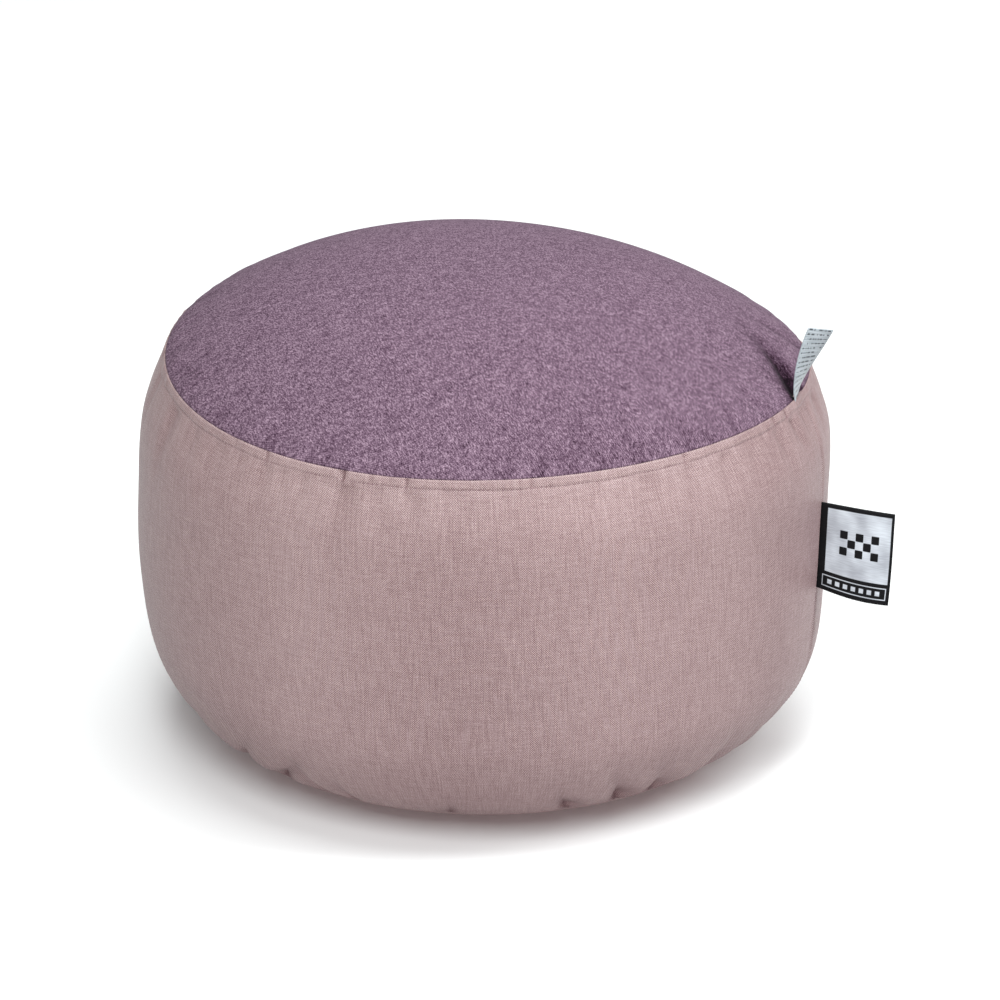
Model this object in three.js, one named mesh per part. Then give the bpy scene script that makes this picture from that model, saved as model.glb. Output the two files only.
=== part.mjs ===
// A round floor pouf of two cloths, filled, standing on the floor.
// Millimetres, +Z up. The origin is the middle of the base, on the floor.
// -Y is the front. Azimuths are in degrees from the front, positive towards +X, where the labels are.
import * as THREE from "three";
import { mergeVertices } from "three/addons/utils/BufferGeometryUtils.js";

// Driving dimensions
const BELLY_RADIUS = 275;
const TOP_SEAM_RADIUS = 254;
const TOP_SEAM_HEIGHT = 315;
const CROWN_RISE = 76;
const CROWN_POWER = 2.33; // 2 is a plain dome, more is flatter in the middle
const BOTTOM_SEAM_RADIUS = 217;
const BOTTOM_SEAM_HEIGHT = 18;
const FLOOR_RADIUS = 176; // the flat part of the base
const PIECE_GAP = 0.3; // between two pieces that meet at a seam

// The folded and topstitched rim of the side band. It stands out by RIM_RISE, and up by a share of that
const RIM_WIDTH = 7.5;
const RIM_RISE = 1.7;
const RIM_UPWARD_SHARE = 0.5;
const STITCH_FURROW = { sink: 0.9, halfWidth: 2.5 };

// The filling lifts the top panel straight from its seam
const PUFF_RISE = 3;
const PUFF_REACH = 4;

// The upright seam of the side band slants a little between two heights
const SIDE_SEAM = { lowAzimuth: 73.5, highAzimuth: 76.5, low: 110, high: 230, halfWidth: 2.2, sink: 1.6 };

// How the top seam leans, and how oval it is. right, back and twist change its height, oval its radius
const TOP_SEAM_LEAN = { right: -11, back: 7, twist: 5.5, oval: -7.5 };
const TOP_SHIFT = new THREE.Vector2(2.5, 2);
const CROWN_SHIFT = new THREE.Vector2(-3, 14);
const LEFT_BULGE = 4; // how much fuller the left side is than the right
const LEAN_POWER = 1.5; // how fast the seam's lean dies out towards the crown

// Mesh steps
const COLUMNS = 120;
const COLUMN_DEG = 360 / COLUMNS;

// The side band's outline between its two seams
const BAND_OUTLINE = [
  { radius: BOTTOM_SEAM_RADIUS, height: BOTTOM_SEAM_HEIGHT },
  { radius: 0.88 * BELLY_RADIUS, height: 38.5 },
  { radius: 0.968 * BELLY_RADIUS, height: 78 },
  { radius: 0.999 * BELLY_RADIUS, height: 142 },
  { radius: BELLY_RADIUS, height: 205 },
  { radius: 0.988 * BELLY_RADIUS, height: 268 },
  { radius: TOP_SEAM_RADIUS, height: TOP_SEAM_HEIGHT },
];

// The base's outline, from its flat part to the bottom seam
const BASE_OUTLINE = [
  { radius: FLOOR_RADIUS, height: 0 },
  { radius: 192, height: 4.6 },
  { radius: 204, height: 10.4 },
  { radius: 211.5, height: 14.2 },
  { radius: BOTTOM_SEAM_RADIUS, height: BOTTOM_SEAM_HEIGHT },
];

// Gathers where the side band is sewn to the base. Depth and reach up the band are in mm, and
// half width in degrees.
// At the seam itself a gather has GATHER_START of its depth, and all of it GATHER_GROWTH further up.
const GATHER_START = 0.4;
const GATHER_GROWTH = 7;
const BOTTOM_GATHERS = [
  { azimuth: 18, halfWidth: 3.2, depth: 4.6, reach: 34 },
  { azimuth: 30, halfWidth: 3.0, depth: 5.2, reach: 40 },
  { azimuth: 42, halfWidth: 3.2, depth: 4.4, reach: 36 },
  { azimuth: 54, halfWidth: 2.8, depth: 4.0, reach: 30 },
  { azimuth: 63, halfWidth: 2.6, depth: 3.2, reach: 26 },
  { azimuth: 78, halfWidth: 3.0, depth: 4.2, reach: 34 },
  { azimuth: 93, halfWidth: 3.4, depth: 4.0, reach: 38 },
  { azimuth: 108, halfWidth: 2.8, depth: 3.0, reach: 26 },
  { azimuth: 126, halfWidth: 3.6, depth: 5.0, reach: 42 },
  { azimuth: 141, halfWidth: 2.8, depth: 3.4, reach: 28 },
  { azimuth: 159, halfWidth: 3.2, depth: 4.6, reach: 36 },
  { azimuth: 177, halfWidth: 3.0, depth: 3.6, reach: 30 },
  { azimuth: -168, halfWidth: 2.8, depth: 4.2, reach: 34 },
  { azimuth: -150, halfWidth: 3.4, depth: 3.0, reach: 28 },
  { azimuth: -135, halfWidth: 3.0, depth: 4.8, reach: 40 },
  { azimuth: -114, halfWidth: 3.2, depth: 3.6, reach: 32 },
  { azimuth: -99, halfWidth: 2.8, depth: 3.0, reach: 26 },
  { azimuth: -84, halfWidth: 3.0, depth: 3.4, reach: 30 },
  { azimuth: -72, halfWidth: 2.8, depth: 2.8, reach: 26 },
  { azimuth: -48, halfWidth: 3.0, depth: 2.6, reach: 24 },
  { azimuth: -36, halfWidth: 2.8, depth: 2.8, reach: 26 },
  { azimuth: -9, halfWidth: 3.4, depth: 1.4, reach: 24 },
];

// Soft waves that hang from the rim of the side band
const BAND_WAVES = [
  { azimuth: -39, halfWidth: 3.4, depth: 1.8, reach: 60 },
  { azimuth: -30, halfWidth: 2.8, depth: 1.2, reach: 50 },
  { azimuth: -21, halfWidth: 3.2, depth: 1.8, reach: 70 },
  { azimuth: -12, halfWidth: 2.8, depth: 1.4, reach: 50 },
  { azimuth: 6, halfWidth: 3.4, depth: 0.9, reach: 45 },
  { azimuth: 30, halfWidth: 3.4, depth: 1.2, reach: 60 },
  { azimuth: 45, halfWidth: 3.0, depth: 1.0, reach: 45 },
  { azimuth: 66, halfWidth: 3.0, depth: 1.6, reach: 50 },
  { azimuth: 96, halfWidth: 3.4, depth: 1.6, reach: 60 },
  { azimuth: 120, halfWidth: 3.0, depth: 1.2, reach: 45 },
  { azimuth: 147, halfWidth: 3.4, depth: 1.8, reach: 65 },
  { azimuth: 171, halfWidth: 3.0, depth: 1.2, reach: 50 },
  { azimuth: -159, halfWidth: 3.2, depth: 1.6, reach: 60 },
  { azimuth: -129, halfWidth: 3.4, depth: 1.4, reach: 50 },
  { azimuth: -105, halfWidth: 3.0, depth: 1.6, reach: 60 },
  { azimuth: -66, halfWidth: 3.2, depth: 1.4, reach: 55 },
];

// Short gathers of the top panel at its seam
const TOP_GATHERS = [
  { azimuth: 3, halfWidth: 2.6, depth: 1.4, reach: 26 },
  { azimuth: 12, halfWidth: 2.6, depth: 1.6, reach: 34 },
  { azimuth: 24, halfWidth: 2.8, depth: 1.8, reach: 32 },
  { azimuth: 42, halfWidth: 3.0, depth: 2.0, reach: 30 },
  { azimuth: 54, halfWidth: 2.6, depth: 1.6, reach: 24 },
  { azimuth: 96, halfWidth: 3.4, depth: 2.4, reach: 40 },
  { azimuth: 120, halfWidth: 2.8, depth: 1.6, reach: 30 },
  { azimuth: 147, halfWidth: 3.0, depth: 1.8, reach: 34 },
  { azimuth: 174, halfWidth: 2.8, depth: 1.4, reach: 28 },
  { azimuth: -156, halfWidth: 3.0, depth: 1.8, reach: 34 },
  { azimuth: -129, halfWidth: 2.8, depth: 1.4, reach: 28 },
  { azimuth: -105, halfWidth: 3.0, depth: 1.6, reach: 32 },
  { azimuth: -78, halfWidth: 2.6, depth: 1.4, reach: 36 },
  { azimuth: -69, halfWidth: 2.6, depth: 1.4, reach: 34 },
  { azimuth: -48, halfWidth: 2.8, depth: 1.0, reach: 26 },
  { azimuth: -24, halfWidth: 2.8, depth: 1.0, reach: 26 },
];

// The deep crease that the care label pulls into the top panel. It slants away from the front
// as it runs inwards.
const CREASE = {
  azimuth: 72.5,
  slantDegPerMm: 0.27,
  depth: 13,
  reach: 38,
  nearHalfWidth: 3.4,
  farHalfWidth: 7,
};

// The woven label, sewn into the upright seam by one edge
const SIDE_LABEL = {
  low: 146,
  high: 214,
  width: 57.5,
  thickness: 1.2,
  droop: 8.5,
  droopPower: 1.4,
  topTurnDeg: -9,
  bottomTurnDeg: 2,
};

// The folded tape, sewn into the top seam by one end. It stands up, turns to the front and leans outwards
const CARE_LABEL = {
  azimuth: 73.4,
  width: 19.5,
  length: 58,
  thickness: 1.1,
  lift: 1.2,
  turnDeg: 73,
  leanX: 18,
  leanStart: 0.12,
  leanPower: 1.25,
  topSlope: -0.12,
};

const COLOURS = {
  mauve: 0x8b7283,
  dustyPink: 0xab9192,
  basePink: 0xa58b8c,
  wovenBlack: 0x1d1c1e,
  satinWhite: 0xd9dcdf,
};

const radians = THREE.MathUtils.degToRad;
const X_AXIS = new THREE.Vector3(1, 0, 0);
const Z_AXIS = new THREE.Vector3(0, 0, 1);

// The way out from the axis at an azimuth
function outward(azimuth) {
  const angle = radians(azimuth);
  return new THREE.Vector3(Math.sin(angle), -Math.cos(angle), 0);
}

// The way round the axis at an azimuth, towards larger azimuths
function around(azimuth) {
  const angle = radians(azimuth);
  return new THREE.Vector3(Math.cos(angle), Math.sin(angle), 0);
}

function azimuthBetween(a, b) {
  return THREE.MathUtils.euclideanModulo(a - b + 180, 360) - 180;
}

function bell(x) {
  return Math.exp(-x * x);
}

// The depth of a table of folds at an azimuth and a distance from their seam
function foldDepth(folds, azimuth, distance) {
  let depth = 0;
  for (const fold of folds) {
    const across = azimuthBetween(azimuth, fold.azimuth) / fold.halfWidth;
    depth += fold.depth * bell(across) * bell(distance / fold.reach);
  }
  return depth;
}

function topSeamHeight(azimuth) {
  const angle = radians(azimuth);
  const { right, back, twist } = TOP_SEAM_LEAN;
  return TOP_SEAM_HEIGHT + right * Math.sin(angle) - back * Math.cos(angle) + twist * Math.sin(2 * angle);
}

function topSeamRadius(azimuth) {
  return TOP_SEAM_RADIUS + TOP_SEAM_LEAN.oval * Math.sin(2 * radians(azimuth));
}

function topSeamPoint(azimuth) {
  const point = outward(azimuth).multiplyScalar(topSeamRadius(azimuth));
  return new THREE.Vector3(point.x + TOP_SHIFT.x, point.y + TOP_SHIFT.y, topSeamHeight(azimuth));
}

// The faces where two pieces meet. The upper one sinks a little inside its seam.
// share is 1 at the seam and 0 in the middle of the pouf.
const TOP_FACE_SINK = 7;
const SINK_SHARE = 0.94;

function topFacePoint(azimuth, share) {
  const seam = topSeamPoint(azimuth);
  const sink = share === 1 ? 0 : TOP_FACE_SINK;
  return new THREE.Vector3(
    THREE.MathUtils.lerp(TOP_SHIFT.x, seam.x, share),
    THREE.MathUtils.lerp(TOP_SHIFT.y, seam.y, share),
    THREE.MathUtils.lerp(TOP_SEAM_HEIGHT, seam.z, share) - sink,
  );
}

const bottomFaceMiddle = new THREE.Vector3(0, 0, BOTTOM_SEAM_HEIGHT);

// The side band's outline as one smooth curve of radius (x) and height (y)
const bandCurve = new THREE.CatmullRomCurve3(
  BAND_OUTLINE.map((row) => new THREE.Vector3(row.radius, row.height, 0)),
  false,
  "centripetal",
);
bandCurve.arcLengthDivisions = 2000;
const BAND_LENGTH = bandCurve.getLength();

// A point of the side band, by its distance up the outline from the bottom seam
function bandPoint(azimuth, distance) {
  const outline = bandCurve.getPointAt(THREE.MathUtils.clamp(distance / BAND_LENGTH, 0, 1));
  const height = THREE.MathUtils.inverseLerp(BOTTOM_SEAM_HEIGHT, TOP_SEAM_HEIGHT, outline.y);
  const seamHeight = topSeamHeight(azimuth);
  const seamRadius = topSeamRadius(azimuth);
  const fromTop = BAND_LENGTH - distance;
  let radius = outline.x + (seamRadius - TOP_SEAM_RADIUS) * height * height;
  radius -= LEFT_BULGE * Math.sin(radians(azimuth)) * Math.pow(Math.sin(Math.PI * height), 2);
  const gather = THREE.MathUtils.lerp(GATHER_START, 1, Math.min(1, distance / GATHER_GROWTH));
  radius -= foldDepth(BOTTOM_GATHERS, azimuth, distance) * gather;
  const belowRim = THREE.MathUtils.smoothstep(fromTop, RIM_WIDTH, 3 * RIM_WIDTH);
  radius -= foldDepth(BAND_WAVES, azimuth, fromTop) * belowRim;
  radius += rimRise(fromTop);
  radius -= sideSeamSink(azimuth, outline.y, fromTop);
  const point = outward(azimuth).multiplyScalar(radius);
  point.x += TOP_SHIFT.x * height;
  point.y += TOP_SHIFT.y * height;
  point.z = THREE.MathUtils.lerp(BOTTOM_SEAM_HEIGHT, seamHeight, height);
  point.z += rimRise(fromTop) * RIM_UPWARD_SHARE;
  return point;
}

// The rim stands proud of the band, and its stitches pull a narrow furrow below it
function rimRise(fromTop) {
  if (fromTop < RIM_WIDTH) {
    return RIM_RISE * Math.sqrt(Math.max(0, Math.sin((Math.PI * fromTop) / RIM_WIDTH)));
  }
  return -STITCH_FURROW.sink * bell((fromTop - RIM_WIDTH) / STITCH_FURROW.halfWidth);
}

function sideSeamAzimuth(height) {
  const { lowAzimuth, highAzimuth, low, high } = SIDE_SEAM;
  return THREE.MathUtils.lerp(lowAzimuth, highAzimuth, THREE.MathUtils.smoothstep(height, low, high));
}

function sideSeamSink(azimuth, height, fromTop) {
  const across = azimuthBetween(azimuth, sideSeamAzimuth(height)) / SIDE_SEAM.halfWidth;
  return SIDE_SEAM.sink * bell(across) * THREE.MathUtils.smoothstep(fromTop, RIM_WIDTH, 2 * RIM_WIDTH);
}

// Distances up the band's outline: close steps at both seams, wide ones between
const BAND_ROWS = [0, 4, 9, 15, 22, 31, 42, 56, 74, 96, 122, 150, 178, 206, 234, 258, 276, 290, 300, 307];
const RIM_ROWS = [RIM_WIDTH + 2.5, RIM_WIDTH, RIM_WIDTH - 1.5, RIM_WIDTH / 2, 1.5, 0];

// Distances inwards from the top seam along the top panel, as shares of its radius
const CROWN_ROWS = [0, 0.006, 0.016, 0.03, 0.05, 0.08, 0.12, 0.17, 0.24, 0.33, 0.44, 0.57, 0.71, 0.86];

function creaseDepth(azimuth, distance) {
  const middle = CREASE.azimuth + CREASE.slantDegPerMm * distance;
  const offset = azimuthBetween(azimuth, middle);
  const halfWidth = offset < 0 ? CREASE.nearHalfWidth : CREASE.farHalfWidth;
  return CREASE.depth * bell(offset / halfWidth) * bell(distance / CREASE.reach);
}

// A point of the top panel. inward is 0 at the seam and 1 in the middle
function crownPoint(azimuth, inward) {
  const share = 1 - inward;
  const seam = topSeamPoint(azimuth);
  const distance = inward * topSeamRadius(azimuth);
  const point = topFacePoint(azimuth, share);
  const middle = 1 - share * share;
  const seamDrop = (seam.z - TOP_SEAM_HEIGHT) * Math.pow(share, LEAN_POWER);
  const lift = 1 - Math.exp(-distance / PUFF_REACH);
  const folds = foldDepth(TOP_GATHERS, azimuth, distance) + creaseDepth(azimuth, distance);
  point.x += CROWN_SHIFT.x * middle;
  point.y += CROWN_SHIFT.y * middle;
  point.z = TOP_SEAM_HEIGHT + seamDrop + CROWN_RISE * (1 - Math.pow(share, CROWN_POWER));
  point.z += PUFF_RISE * lift * share - folds * lift;
  return point;
}

// A closed skin of rings that run round the axis, each ring a list of points, with a point at each end.
// The rings go from the lower middle point outwards, up and in to the upper middle point.
function ringSolid(lowMiddle, rings, highMiddle) {
  const positions = [lowMiddle, ...rings.flat(), highMiddle].flatMap((p) => [p.x, p.y, p.z]);
  const last = positions.length / 3 - 1;
  const index = [];
  const at = (ring, column) => 1 + ring * COLUMNS + (column % COLUMNS);
  for (let column = 0; column < COLUMNS; column++) {
    index.push(0, at(0, column + 1), at(0, column));
    for (let ring = 0; ring + 1 < rings.length; ring++) {
      const [a, b] = [at(ring, column), at(ring, column + 1)];
      const [c, d] = [at(ring + 1, column), at(ring + 1, column + 1)];
      index.push(a, b, d, a, d, c);
    }
    index.push(at(rings.length - 1, column), at(rings.length - 1, column + 1), last);
  }
  const geometry = new THREE.BufferGeometry();
  geometry.setAttribute("position", new THREE.Float32BufferAttribute(positions, 3));
  geometry.setIndex(index);
  return geometry;
}

// One ring of points, from a function of the azimuth
function ring(pointAt) {
  return Array.from({ length: COLUMNS }, (_, column) => pointAt(column * COLUMN_DEG - 180));
}

function raised(point, lift) {
  return point.clone().setZ(point.z + lift);
}

function topPanelGeometry() {
  const under = PIECE_GAP / 2;
  const rings = [ring((a) => raised(topFacePoint(a, SINK_SHARE), under))];
  for (const inward of CROWN_ROWS) {
    rings.push(ring((a) => raised(crownPoint(a, inward), under)));
  }
  const lowMiddle = raised(topFacePoint(0, 0), under);
  return ringSolid(lowMiddle, rings, raised(crownPoint(0, 1), under));
}

function sideBandGeometry() {
  const half = PIECE_GAP / 2;
  const rings = [];
  for (const distance of [...BAND_ROWS, ...RIM_ROWS.map((row) => BAND_LENGTH - row)]) {
    const lift = distance === 0 ? half : distance === BAND_LENGTH ? -half : 0;
    rings.push(ring((a) => raised(bandPoint(a, distance), lift)));
  }
  rings.push(ring((a) => raised(topFacePoint(a, SINK_SHARE), -half)));
  return ringSolid(raised(bottomFaceMiddle, half), rings, raised(topFacePoint(0, 0), -half));
}

function basePanelGeometry() {
  const half = PIECE_GAP / 2;
  const rings = BASE_OUTLINE.map((row) => {
    const lift = row.radius === BOTTOM_SEAM_RADIUS ? -half : 0;
    return ring((a) => outward(a).multiplyScalar(row.radius).setZ(row.height + lift));
  });
  return ringSolid(new THREE.Vector3(0, 0, 0), rings, raised(bottomFaceMiddle, -half));
}

// A closed sheet of even thickness on a surface pointAt(u, v), with u and v from 0 to 1
function sheetGeometry(pointAt, stepsU, stepsV, thickness) {
  const positions = [];
  const step = 1e-3;
  for (const side of [1, -1]) {
    for (let j = 0; j <= stepsV; j++) {
      for (let i = 0; i <= stepsU; i++) {
        const [u, v] = [i / stepsU, j / stepsV];
        const alongU = pointAt(u + step, v).sub(pointAt(u - step, v));
        const alongV = pointAt(u, v + step).sub(pointAt(u, v - step));
        const normal = alongU.cross(alongV).normalize();
        const point = pointAt(u, v).addScaledVector(normal, (side * thickness) / 2);
        positions.push(point.x, point.y, point.z);
      }
    }
  }
  const row = stepsU + 1;
  const layer = row * (stepsV + 1);
  const index = [];
  const quad = (a, b, c, d) => index.push(a, b, c, a, c, d);
  for (let j = 0; j < stepsV; j++) {
    for (let i = 0; i < stepsU; i++) {
      const a = j * row + i;
      quad(a, a + 1, a + row + 1, a + row);
      quad(layer + a, layer + a + row, layer + a + row + 1, layer + a + 1);
    }
  }
  for (let i = 0; i < stepsU; i++) {
    const top = stepsV * row + i;
    quad(i, layer + i, layer + i + 1, i + 1);
    quad(top, top + 1, layer + top + 1, layer + top);
  }
  for (let j = 0; j < stepsV; j++) {
    const [left, right] = [j * row, j * row + stepsU];
    quad(left, left + row, layer + left + row, layer + left);
    quad(right, layer + right, layer + right + row, right + row);
  }
  const geometry = new THREE.BufferGeometry();
  geometry.setAttribute("position", new THREE.Float32BufferAttribute(positions, 3));
  geometry.setIndex(index);
  return geometry;
}

// The distance up the band's outline at which the band reaches a height
function bandDistanceAt(azimuth, height) {
  let [low, high] = [0, BAND_LENGTH];
  for (let i = 0; i < 30; i++) {
    const middle = (low + high) / 2;
    if (bandPoint(azimuth, middle).z < height) low = middle;
    else high = middle;
  }
  return low;
}

// u runs out from the seam and v runs up
function sideLabelPoint(u, v) {
  const { low, high, width, droop, droopPower, topTurnDeg, bottomTurnDeg } = SIDE_LABEL;
  const height = THREE.MathUtils.lerp(low, high, v);
  const azimuth = sideSeamAzimuth(height);
  const root = bandPoint(azimuth, bandDistanceAt(azimuth, height));
  const turn = radians(THREE.MathUtils.lerp(bottomTurnDeg, topTurnDeg, v)) * u;
  const away = outward(azimuth).multiplyScalar(Math.cos(turn));
  away.addScaledVector(around(azimuth), -Math.sin(turn));
  const clear = 2 * PIECE_GAP;
  const fall = droop * Math.pow(Math.max(0, u), droopPower);
  return root.addScaledVector(away, clear + width * u).setZ(height - fall);
}

// u runs across the tape and v runs up from its seam
function careLabelPoint(u, v) {
  const { azimuth, width, length, lift, turnDeg, leanX, leanStart, leanPower, topSlope } = CARE_LABEL;
  const middle = topSeamPoint(azimuth);
  const lean = Math.max(0, v - leanStart) / (1 - leanStart);
  const leaning = leanX * Math.pow(lean, leanPower);
  const rise = Math.sqrt(length * length - leanX * leanX);
  middle.x += leaning;
  middle.z += lift + rise * v;
  const across = X_AXIS.clone().applyAxisAngle(Z_AXIS, radians(turnDeg * (1 - v)));
  const seamRise = topSeamHeight(azimuth + 2) - topSeamHeight(azimuth - 2);
  const seamSlope = seamRise / (topSeamRadius(azimuth) * radians(4));
  const aside = width * (u - 0.5);
  middle.z += aside * THREE.MathUtils.lerp(seamSlope, topSlope, v);
  return middle.addScaledVector(across, aside);
}

function clothMesh(name, geometry, colour, roughness) {
  const material = new THREE.MeshStandardMaterial({ color: colour, roughness, metalness: 0 });
  const merged = mergeVertices(geometry, 1e-3);
  merged.computeVertexNormals();
  const mesh = new THREE.Mesh(merged, material);
  mesh.name = name;
  return mesh;
}

const wovenLabel = sheetGeometry(sideLabelPoint, 8, 8, SIDE_LABEL.thickness);
const foldedTape = sheetGeometry(careLabelPoint, 4, 16, CARE_LABEL.thickness);

const pouf = new THREE.Group();
pouf.add(
  clothMesh("top_panel", topPanelGeometry(), COLOURS.mauve, 0.95),
  clothMesh("side_band", sideBandGeometry(), COLOURS.dustyPink, 0.85),
  clothMesh("base_panel", basePanelGeometry(), COLOURS.basePink, 0.85),
  clothMesh("side_label", wovenLabel, COLOURS.wovenBlack, 0.6),
  clothMesh("care_label", foldedTape, COLOURS.satinWhite, 0.5),
);

export default pouf;
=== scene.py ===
# %% [markdown]
# # A round floor pouf of two cloths
#
# The real pouf is a filled bag of three cloths: a mauve brushed panel on top, a dusty pink side band
# with a linen look, and a pink base. Two labels are caught in its seams. The packed model holds plain
# solids of these pieces at their real size. This script keeps them as the frame and dresses them:
# finer cloth, sewing, labels and finishes, all in metres and in the same place.

# %% Load the frame
import math

import bmesh
import bpy
import numpy as np
from mathutils import Matrix, Vector
from mathutils.bvhtree import BVHTree


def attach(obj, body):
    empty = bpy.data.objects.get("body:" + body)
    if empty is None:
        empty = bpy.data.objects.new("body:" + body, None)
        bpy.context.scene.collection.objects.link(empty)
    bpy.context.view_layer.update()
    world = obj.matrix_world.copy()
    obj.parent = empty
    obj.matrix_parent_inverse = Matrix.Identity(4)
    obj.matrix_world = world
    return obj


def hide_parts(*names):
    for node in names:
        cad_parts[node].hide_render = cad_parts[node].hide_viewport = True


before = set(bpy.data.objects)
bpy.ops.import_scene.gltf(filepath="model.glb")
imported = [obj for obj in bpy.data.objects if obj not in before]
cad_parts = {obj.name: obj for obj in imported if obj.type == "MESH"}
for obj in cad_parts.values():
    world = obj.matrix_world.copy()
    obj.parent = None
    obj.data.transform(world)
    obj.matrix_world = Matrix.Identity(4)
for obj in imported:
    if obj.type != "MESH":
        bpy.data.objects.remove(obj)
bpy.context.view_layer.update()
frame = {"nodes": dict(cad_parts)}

print("nodes:", ", ".join(frame["nodes"]))

# %% [markdown]
# ## Driving dimensions
#
# A maker cuts the cloth from a few sizes: how wide the pouf is at its belly, where the two seams run,
# and how high the filling pushes the top. The solids were made from the same sizes.
# An azimuth is an angle in degrees round the pouf. It is 0 at the front (-Y) and grows towards +X.

# %% Driving dimensions
MM = 0.001
BELLY_RADIUS = 275 * MM
TOP_SEAM_RADIUS = 254 * MM
TOP_SEAM_HEIGHT = 315 * MM
CROWN_RISE = 76 * MM
CROWN_POWER = 2.33
BOTTOM_SEAM_RADIUS = 217 * MM
BOTTOM_SEAM_HEIGHT = 18 * MM
FLOOR_RADIUS = 176 * MM
PUFF_RISE = 3 * MM
PUFF_REACH = 4 * MM
RIM_WIDTH = 7.5 * MM
LEFT_BULGE = 4 * MM
LEAN_POWER = 1.5

# How the top seam leans and how oval it is, and where the seam and the crown sit off the middle
SEAM_LEAN = {"right": -11 * MM, "back": 7 * MM, "twist": 5.5 * MM, "oval": -7.5 * MM}
TOP_SHIFT = (2.5 * MM, 2 * MM)
CROWN_SHIFT = (-3 * MM, 14 * MM)

# %% [markdown]
# ## The camera
#
# The photograph was taken from the front with a long lens, about 22 degrees above the floor. A long lens
# keeps the far side of the pouf nearly as wide as the near side. The camera slides a little sideways
# and doesn't turn, so that the middle of the pouf falls left of the middle of the picture.

# %% Camera
CAMERA_ELEVATION = math.radians(21.96)
CAMERA_DISTANCE = 3.5507
TARGET_HEIGHT = 0.1907
CAMERA_ASIDE = 0.0111
LENS = 159.53
SENSOR = 36

camera_data = bpy.data.cameras.new("photo_camera")
camera_data.lens = LENS
camera_data.sensor_width = SENSOR
camera = bpy.data.objects.new("photo_camera", camera_data)
bpy.context.scene.collection.objects.link(camera)
camera.location = (
    CAMERA_ASIDE,
    -CAMERA_DISTANCE * math.cos(CAMERA_ELEVATION),
    TARGET_HEIGHT + CAMERA_DISTANCE * math.sin(CAMERA_ELEVATION),
)
camera.rotation_euler = (math.pi / 2 - CAMERA_ELEVATION, 0, 0)
bpy.context.scene.camera = camera
print("camera at", [round(value, 3) for value in camera.location])

# %% [markdown]
# ## Lamps
#
# The shadow under the pouf is wide and soft, and the rim and the upper band are bright. A very wide
# light almost straight overhead leaves such a shadow. A softbox at the right and one in front light the
# rim, which the overhead light alone would leave flat.

# %% Lamps
LAMP_TINT = (0.965, 1.0, 1.0)
# Kind, azimuth and elevation in degrees, distance in metres, and power
LAMPS = {
    "overhead_light": ("SUN", 110, 84, 3.0, 1.58),
    "front_softbox": ("AREA", -10, 45, 2.6, 39),
    "right_softbox": ("AREA", 79, 45, 2.6, 37),
}
OVERHEAD_SPREAD = 36
SOFTBOX_SIZE = (0.8, 1.4)

bpy.context.scene.view_settings.view_transform = "Standard"


def add_lamp(name, kind, azimuth, elevation, distance, power):
    """A lamp that faces the middle of the pouf."""
    lamp = bpy.data.lights.new(name, kind)
    lamp.energy = power
    lamp.color = LAMP_TINT
    holder = bpy.data.objects.new(name, lamp)
    bpy.context.scene.collection.objects.link(holder)
    turn, rise = math.radians(azimuth), math.radians(elevation)
    way = Vector((math.sin(turn) * math.cos(rise), -math.cos(turn) * math.cos(rise), math.sin(rise)))
    holder.location = Vector((0, 0, TARGET_HEIGHT)) + distance * way
    holder.rotation_euler = (-way).to_track_quat("-Z", "Y").to_euler()
    return lamp


for name, place in LAMPS.items():
    lamp = add_lamp(name, *place)
    if lamp.type == "SUN":
        lamp.angle = math.radians(OVERHEAD_SPREAD)
    else:
        lamp.shape = "RECTANGLE"
        lamp.size, lamp.size_y = SOFTBOX_SIZE
print("lamps:", ", ".join(LAMPS))

# %% [markdown]
# ## Sky and floor
#
# Round the studio the walls are dim and the floor is bright, so the sky is dim above and bright below the
# horizon, most of all towards the front right. That bright half stands for the light that the floor
# throws back, also under the pouf, where the photograph was brightened; the floor itself is left out
# of the soft bounces. Both are built from a few nodes, and a short call adds each of them.

# %% Sky and floor
SKY = {"above": 0.42, "below": 1.4, "blend": 0.15, "brightest": 18, "darkest_share": -0.8}
WALL_WHITE = (1, 1, 1, 1)
GLOW_TINT = (1.0, 0.94, 0.95, 1)
FLOOR_SIZE = 12.0
FLOOR_PAINT = {"Base Color": (0.94, 0.94, 0.94, 1), "Roughness": 0.9, "Specular IOR Level": 0.1}


def feed(tree, node, inputs):
    """Join or set some inputs of a node. Each value is plain, or a socket, or a thing that has a socket."""
    for key, value in inputs.items():
        value = getattr(value, "socket", value)
        if isinstance(value, bpy.types.NodeSocket):
            tree.links.new(value, node.inputs[key])
        else:
            node.inputs[key].default_value = value


def add_node(tree, kind, inputs, **settings):
    """Add a shader node, set it up and feed it."""
    node = tree.nodes.new("ShaderNode" + kind)
    for key, value in settings.items():
        setattr(node, key, value)
    feed(tree, node, inputs)
    return node


world = bpy.data.worlds.new("studio_sky")
bpy.context.scene.world = world
world.use_nodes = True
sky = world.node_tree
way = add_node(sky, "TexCoord", {}).outputs["Generated"]
brightest = math.radians(SKY["brightest"])
facing = add_node(
    sky, "VectorMath", {0: way, 1: (math.sin(brightest), -math.cos(brightest), 0)}, operation="DOT_PRODUCT"
)
glow_strength = add_node(sky, "MapRange", {
    "Value": facing.outputs["Value"], "From Min": SKY["darkest_share"], "From Max": 1, "To Max": SKY["below"],
})
glow = add_node(sky, "Background", {"Color": GLOW_TINT, "Strength": glow_strength.outputs[0]})
walls = sky.nodes["Background"]
feed(sky, walls, {"Color": WALL_WHITE, "Strength": SKY["above"]})
upward = add_node(sky, "SeparateXYZ", {0: way}).outputs["Z"]
horizon = add_node(sky, "MapRange", {"Value": upward, "From Min": -SKY["blend"], "From Max": SKY["blend"]})
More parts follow.
